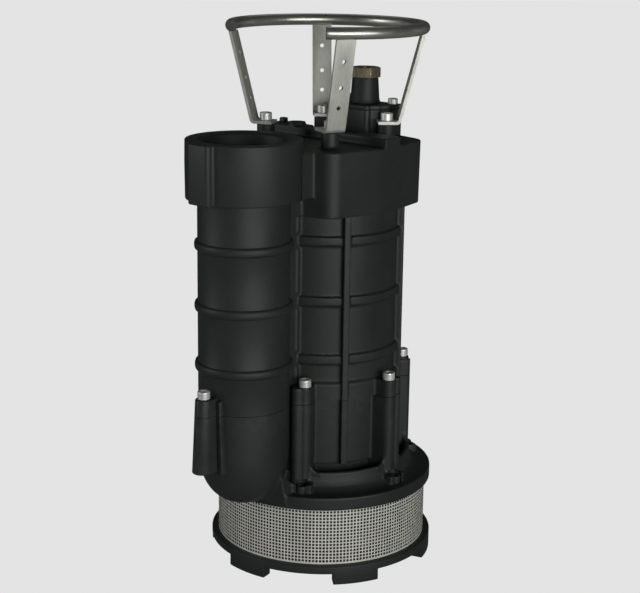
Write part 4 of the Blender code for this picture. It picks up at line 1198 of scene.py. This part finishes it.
class PUMP_OT_cable_entry(bpy.types.Operator):
    """Model the cable entry's block and lid"""

    bl_idname = "pump.cable_entry"
    bl_label = "Cable Entry"

    def execute(self, context):
        paint = painted_iron("paint_cable_entry", 420.0, 30.0)
        for name, node_name, low, high, width in (
                ("cable_entry_body", "cable_entry_block", BLOCK_LOW[2], BLOCK_HIGH[2], 0.0012),
                ("cable_entry_cap", "cable_entry_lid", LID_LOW[2], LID_HIGH[2], 0.0010)):
            piece = slab(name, self.outline(), low, high)
            for side in (1.0, -1.0):
                place = (side * SCALLOP_PLACE, SCALLOP_PLACE)
                cut_away(piece, rod("scallop", SCALLOP_RADIUS, low - 0.01, high + 0.01, 64, place))
            rounded(piece, width, 3, 30.0)
            finished(piece, paint, "black_casting", node_name)
        return {"FINISHED"}

    def outline(self):
        """The block seen from above: narrow in front, wide behind, with round corners."""
        back = BLOCK_HIGH[1] - AXIS_Y
        front = BLOCK_LOW[1] - AXIS_Y
        near = (BLOCK_FRONT_WIDTH - BLOCK_CORNER, front + BLOCK_CORNER)
        far = (BLOCK_BACK_WIDTH - BLOCK_CORNER, back - BLOCK_CORNER)
        side = arc(near, BLOCK_CORNER, -QUARTER_TURN, 0.0, 8)
        side += [(BLOCK_FRONT_WIDTH, 0.051), (BLOCK_BACK_WIDTH, 0.068)]
        side += arc(far, BLOCK_CORNER, 0.0, QUARTER_TURN, 8)
        return mirrored(side)


class PUMP_OT_cable_gland(bpy.types.Operator):
    """Turn the gland's body and shape its hexagon nut"""

    bl_idname = "pump.cable_gland"
    bl_label = "Cable Gland"

    def execute(self, context):
        fixings = context.scene.pump_fixings
        place = ((GLAND_LOW[0] + GLAND_HIGH[0]) / 2.0, (GLAND_LOW[1] + GLAND_HIGH[1]) / 2.0 - AXIS_Y)
        foot = GLAND_LOW[2]
        top = GLAND_HIGH[2]
        profile = [(0.0, foot), (GLAND_RADIUS, foot), (GLAND_RADIUS, foot + 0.002),
                   (GLAND_RADIUS - 0.0009, foot + 0.005), (GLAND_TOP_RADIUS, top), (0.0, top)]
        body = turn("cable_gland_turning", eased(profile, 0.0014, 4), 96, place)
        finished(body, painted_iron("paint_gland", 520.0, 34.0), "black_casting", "cable_gland_body")

        low = NUT_LOW[2]
        high = NUT_HIGH[2]
        nut = slab("gland_nut", hexagon(NUT_ACROSS, place, NUT_TURNED), low, high)
        cone = turn("corner_cone", [(0.0, low - 0.001), (0.0190, low - 0.001), (0.0216, low + 0.0012),
                                    (0.0216, high - 0.0016), (0.0188, high), (0.0, high)], 96, place)
        worked(nut, "BOOLEAN", operation="INTERSECT", solver="EXACT", object=cone)
        drop(cone)
        floor = high - CABLE_WAY_DEPTH
        countersink = 0.0016
        rim = CABLE_WAY_RADIUS + countersink
        way = turn("cable_way", [(0.0, floor), (CABLE_WAY_RADIUS, floor),
                                 (CABLE_WAY_RADIUS, high - countersink), (rim, high),
                                 (rim, high + 0.002), (0.0, high + 0.002)], 64, place)
        cut_away(nut, way, solver="EXACT")
        rounded(nut, 0.0003, 2, 25.0)
        brass = brushed_steel("nut_brass", fixings.brass_colour, EVEN_GRAIN, roughness=0.24, scratches=90.0,
                              soiled=0.12, bump=0.000001, metal_share=0.9)
        finished(nut, brass, "gland_brass", "cable_gland_nut", angle=14.0)
        return {"FINISHED"}


class PUMP_OT_screws(bpy.types.Operator):
    """Model the socket head screws, one of each size, and set copies in their places"""

    bl_idname = "pump.screws"
    bl_label = "Screws"

    def execute(self, context):
        fixings = context.scene.pump_fixings
        bright = brushed_steel("screw_steel", fixings.screw_colour, (1.0, 1.0, 0.2), roughness=0.38,
                               scratches=500.0, soiled=0.08, bump=0.00001, metal_share=0.5)
        black = painted_iron("paint_strainer_screws", 600.0, 60.0)
        for starts, measures, material, slot in (
                (("flange_bolt", "discharge_lug_bolt"), LARGE_SCREW, bright, "bolt_steel"),
                (("handle_bolt",), LARGE_SCREW, bright, "bolt_steel"),
                (("entry_screw",), SMALL_SCREW, bright, "bolt_steel"),
                (("strainer_bolt",), LARGE_SCREW, black, "black_casting")):
            nodes = [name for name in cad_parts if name.startswith(starts)]
            low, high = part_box(nodes[0])
            first = self.screw(*measures, high[2] - low[2])
            for name in nodes:
                low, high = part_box(name)
                piece = copied(first, name + "_screw")
                shift(piece, ((low[0] + high[0]) / 2.0, (low[1] + high[1]) / 2.0 - AXIS_Y, low[2]))
                finished(piece, material, slot, name, angle=28.0)
            drop(first)
        return {"FINISHED"}

    def screw(self, size, head, tall, length):
        """A socket head screw that stands on the origin: its shank below, its head above."""
        seat = length - tall
        profile = [(0.0, 0.0), (size - 0.0008, 0.0), (size, 0.0010), (size, seat), (head - 0.0004, seat),
                   (head, seat + 0.0004), (head, seat + 0.0016), (head, length - 0.0022),
                   (head, length - 0.0010), (head - 0.0003, length - 0.0004), (head - 0.0010, length),
                   (0.0, length)]
        piece = turn("screw", profile, 72)
        across = size * 1.6
        deep = tall * 0.5
        socket = slab("socket", hexagon(across), length - deep, length + 0.002)
        cut_away(piece, socket, solver="EXACT")
        mouth = turn("socket_mouth", [(0.0, length - 0.0008), (across / 2.0, length - 0.0006),
                                      (across / 2.0 + 0.0008, length + 0.0002), (0.0, length + 0.0002)], 48)
        return cut_away(piece, mouth, solver="EXACT")


class PUMP_OT_handle(bpy.types.Operator):
    """Bend the handle's four straps and roll its open ring"""

    bl_idname = "pump.handle"
    bl_label = "Handle"

    def execute(self, context):
        handle = context.scene.pump_handle
        flat = brushed_steel("strap_steel", handle.colour, (1.0, 1.0, 0.05), roughness=0.48, scratches=420.0,
                             soiled=0.06)
        bar = brushed_steel("bar_steel", [c * 1.04 for c in handle.colour], (0.5, 0.5, 1.0), roughness=0.30,
                            scratches=60.0, soiled=0.0, bump=0.000001, metal_share=0.85)
        for name, angle, lean, heel in STRAPS:
            strap = self.strap(heel)
            swing(strap, lean * DEGREE - QUARTER_TURN)
            shift(strap, (*around(angle, POST_CIRCLE), 0.0))
            strap.name = "strap_" + name
            finished(strap, flat, "handle_steel", "handle_strap_" + name, angle=18.0)
        ring = self.ring()
        finished(ring, bar, "handle_steel", "handle_ring", angle=24.0)
        # Painted shade: the ring's cut end faces get a nearly black copy of the bar's steel.
        cut = brushed_steel("bar_cut", [c * 0.10 for c in handle.colour], EVEN_GRAIN, roughness=0.60,
                            scratches=700.0, soiled=0.3, metal_share=0.2)
        ring.data.materials.append(cut)
        rounded_off = 0.008
        end = QUARTER_TURN - handle.gap - rounded_off
        for face in ring.data.polygons:
            middle = face.center - Vector((0.0, AXIS_Y, 0.0))
            face.material_index = 1 if math.atan2(-middle.y, abs(middle.x)) > end else 0
        return {"FINISHED"}

    def strap(self, heel):
        """A strap on the origin that leans along +X, with its foot hole and three holes above it."""
        handle = bpy.context.scene.pump_handle
        thick = handle.strap_thickness
        low = COVER_HIGH[2] + 0.0003
        top = RING_LOW[2] - 0.0001
        reach = handle.ring_radius - POST_CIRCLE
        lean = (reach - STRAP_TOE) / (top - low)
        across = thick * math.sqrt(1.0 + lean * lean)
        corner_out = (STRAP_TOE, low)
        corner_in = (STRAP_TOE - across + lean * thick, low + thick)
        head_out = (reach + across / 2.0, top)
        head_in = (reach - across / 2.0, top)
        outline = eased([(-heel, low), corner_out, head_out], STRAP_OUTER_BEND, 8)
        outline += eased([head_in, corner_in, (-heel, low + thick)], STRAP_INNER_BEND, 8)
        half = handle.strap_width / 2.0
        piece = upright_slab("strap", outline, -half, half)
        cut_away(piece, rod("foot_hole", FOOT_HOLE_RADIUS, low - 0.01, low + 0.008, 48), solver="EXACT")
        for height in STRAP_HOLE_HEIGHTS:
            hole = rod("hole", STRAP_HOLE_RADIUS, -0.05, 0.05, 32)
            hole.data.transform(Matrix.Rotation(QUARTER_TURN, 4, "Y"))
            shift(hole, (0.03, 0.0, height))
            cut_away(piece, hole, solver="EXACT")
        return rounded(piece, 0.0005, 2, 35.0)

    def ring(self):
        """A round bar spun through most of a turn, with its two ends rounded off."""
        handle = bpy.context.scene.pump_handle
        height = (RING_LOW[2] + RING_HIGH[2]) / 2.0
        radius = handle.bar_radius
        last = FULL_TURN * (BAR_SIDES - 1) / BAR_SIDES
        circle = arc((handle.ring_radius, height), radius, 0.0, last, BAR_SIDES - 1)
        ring = loop_of("ring_bar", [(x, 0.0, z) for x, z in circle], True)
        bpy.ops.object.mode_set(mode="EDIT")
        bpy.ops.mesh.select_all(action="SELECT")
        sweep = FULL_TURN - 2.0 * handle.gap
        bpy.ops.mesh.spin(steps=BAR_STEPS, angle=sweep, center=(0.0, 0.0, 0.0), axis=(0.0, 0.0, 1.0))
        close_up(ring)
        rounded(ring, 0.0010, 3, 60.0)
        middle = sum((v.co.xy for v in ring.data.vertices), Vector((0.0, 0.0))) / len(ring.data.vertices)
        return swing(ring, QUARTER_TURN - math.atan2(middle.y, middle.x))


def aimed(thing, target):
    way = Vector(target) - thing.location
    thing.rotation_euler = way.to_track_quat("-Z", "Y").to_euler()


def soft_light(name, place, target, size, power):
    lamp = bpy.data.lights.new(name, "AREA")
    lamp.shape = "RECTANGLE"
    lamp.size, lamp.size_y = size
    lamp.energy = power
    light = bpy.data.objects.new(name, lamp)
    bpy.context.scene.collection.objects.link(light)
    light.location = place
    aimed(light, target)
    return light


class PUMP_OT_stage(bpy.types.Operator):
    """Set the pale floor, the soft light and the camera"""

    bl_idname = "pump.stage"
    bl_label = "Stage"

    def execute(self, context):
        stage = context.scene.pump_stage
        self.floor(stage.backdrop)
        self.surroundings(stage.backdrop)
        middle = Vector(LIGHT_TARGET)
        for name, turned, rise, away, size, power, share in LIGHTS:
            across, along = around(turned + CAMERA_TURN, away * math.cos(rise * DEGREE))
            way = Vector((across, along, away * math.sin(rise * DEGREE)))
            soft_light(name, middle + way, middle, size, getattr(stage, power) * share)
        self.camera(context, stage.lens)
        return {"FINISHED"}

    def floor(self, brightness):
        """A pale floor that glows as evenly as the backdrop to the camera."""
        put_down()
        bpy.ops.mesh.primitive_circle_add(vertices=96, radius=14.0, fill_type="NGON")
        floor = bpy.context.object
        floor.name = "studio_floor"
        material = bpy.data.materials.new("studio_floor")
        material.use_nodes = True
        tree = material.node_tree
        shader = tree.nodes["Principled BSDF"]
        place = node(tree, "ShaderNodeTexCoord").outputs["Object"]
        mottle = graded(tree, noise(tree, place, 3.0, 3.0, 0.5), 0.3, 0.7)
        seen = node(tree, "ShaderNodeLightPath").outputs["Is Camera Ray"]
        pale = colour_mix(tree, mottle, (0.37, 0.37, 0.37), (0.40, 0.40, 0.40))
        tree.links.new(colour_mix(tree, seen, pale, (0.006, 0.006, 0.006)), shader.inputs["Base Color"])
        shader.inputs["Roughness"].default_value = 1.0
        shader.inputs["Specular IOR Level"].default_value = 0.0
        glow = graded(tree, seen, 0.0, 1.0, 0.02, brightness - 0.0033)
        tree.links.new(glow, shader.inputs["Emission Strength"])
        shader.inputs["Emission Color"].default_value = (1.0, 1.0, 1.0, 1.0)
        floor.data.materials.append(material)

    def surroundings(self, brightness):
        """A dim room that looks as pale as the floor to the camera."""
        world = bpy.data.worlds.new("studio")
        bpy.context.scene.world = world
        world.use_nodes = True
        tree = world.node_tree
        for old in list(tree.nodes):
            tree.nodes.remove(old)
        seen = node(tree, "ShaderNodeBackground", {"Color": (brightness, brightness, brightness, 1.0)})
        way = node(tree, "ShaderNodeTexCoord").outputs["Generated"]
        height = node(tree, "ShaderNodeSeparateXYZ", {0: way}).outputs["Z"]
        level = graded(tree, height, 0.0, 0.5, 0.022, 0.010)
        lit = node(tree, "ShaderNodeBackground", {"Strength": level, "Color": (1.0, 1.0, 1.0, 1.0)})
        camera_ray = node(tree, "ShaderNodeLightPath").outputs["Is Camera Ray"]
        mixed = node(tree, "ShaderNodeMixShader", {0: camera_ray, 1: lit.outputs[0], 2: seen.outputs[0]})
        output = tree.nodes.new("ShaderNodeOutputWorld")
        tree.links.new(mixed.outputs[0], output.inputs["Surface"])

    def camera(self, context, lens):
        """The photograph's view."""
        turned = CAMERA_TURN * DEGREE
        level = Vector((math.cos(turned), math.sin(turned), 0.0))
        onward = Vector((-math.sin(turned), math.cos(turned), 0.0))
        overhead = Vector((0.0, 0.0, 1.0))
        ahead = onward * math.cos(CAMERA_PITCH) - overhead * math.sin(CAMERA_PITCH)
        upright = onward * math.sin(CAMERA_PITCH) + overhead * math.cos(CAMERA_PITCH)
        across = level * math.cos(CAMERA_ROLL) + upright * math.sin(CAMERA_ROLL)
        up = upright * math.cos(CAMERA_ROLL) - level * math.sin(CAMERA_ROLL)
        data = bpy.data.cameras.new("photo_camera")
        data.lens = lens
        data.sensor_width = 36.0
        data.clip_end = 100.0
        camera = bpy.data.objects.new("photo_camera", data)
        context.scene.collection.objects.link(camera)
        bearing = Matrix((across, up, -ahead)).transposed().to_4x4()
        camera.matrix_world = Matrix.Translation(CAMERA_PLACE) @ bearing
        context.scene.camera = camera
        context.scene.view_settings.view_transform = "Standard"


class PUMP_PT_surfaces(bpy.types.Panel):
    """Lists the pump's pieces and their settings"""

    bl_label = "Submersible Pump"
    bl_idname = "PUMP_PT_surfaces"
    bl_space_type = "VIEW_3D"
    bl_region_type = "UI"
    bl_category = "Pump"

    def draw(self, context):
        layout = self.layout
        for operator in PIECES:
            layout.operator(operator.bl_idname)
        for key in SETTINGS:
            box = layout.box()
            group = getattr(context.scene, key)
            for name in group.__annotations__:
                box.prop(group, name)


SETTINGS = {
    "pump_paint": PumpPaintSettings,
    "pump_casting": PumpCastingSettings,
    "pump_screen": PumpScreenSettings,
    "pump_handle": PumpHandleSettings,
    "pump_fixings": PumpFixingSettings,
    "pump_stage": PumpStageSettings,
}
PIECES = (
    PUMP_OT_base_plate,
    PUMP_OT_strainer_screen,
    PUMP_OT_pump_casing,
    PUMP_OT_motor_housing,
    PUMP_OT_discharge_riser,
    PUMP_OT_discharge_collar,
    PUMP_OT_top_cover,
    PUMP_OT_cable_entry,
    PUMP_OT_cable_gland,
    PUMP_OT_screws,
    PUMP_OT_handle,
    PUMP_OT_stage,
)


def register():
    for kind in (*SETTINGS.values(), *PIECES, PUMP_PT_surfaces):
        bpy.utils.register_class(kind)
    for key, kind in SETTINGS.items():
        setattr(bpy.types.Scene, key, bpy.props.PointerProperty(type=kind))


def unregister():
    for key in SETTINGS:
        delattr(bpy.types.Scene, key)
    for kind in reversed((*SETTINGS.values(), *PIECES, PUMP_PT_surfaces)):
        bpy.utils.unregister_class(kind)


def main():
    register()
    for operator in PIECES:
        family, name = operator.bl_idname.split(".")
        getattr(getattr(bpy.ops, family), name)()


if __name__ == "__main__":
    main()
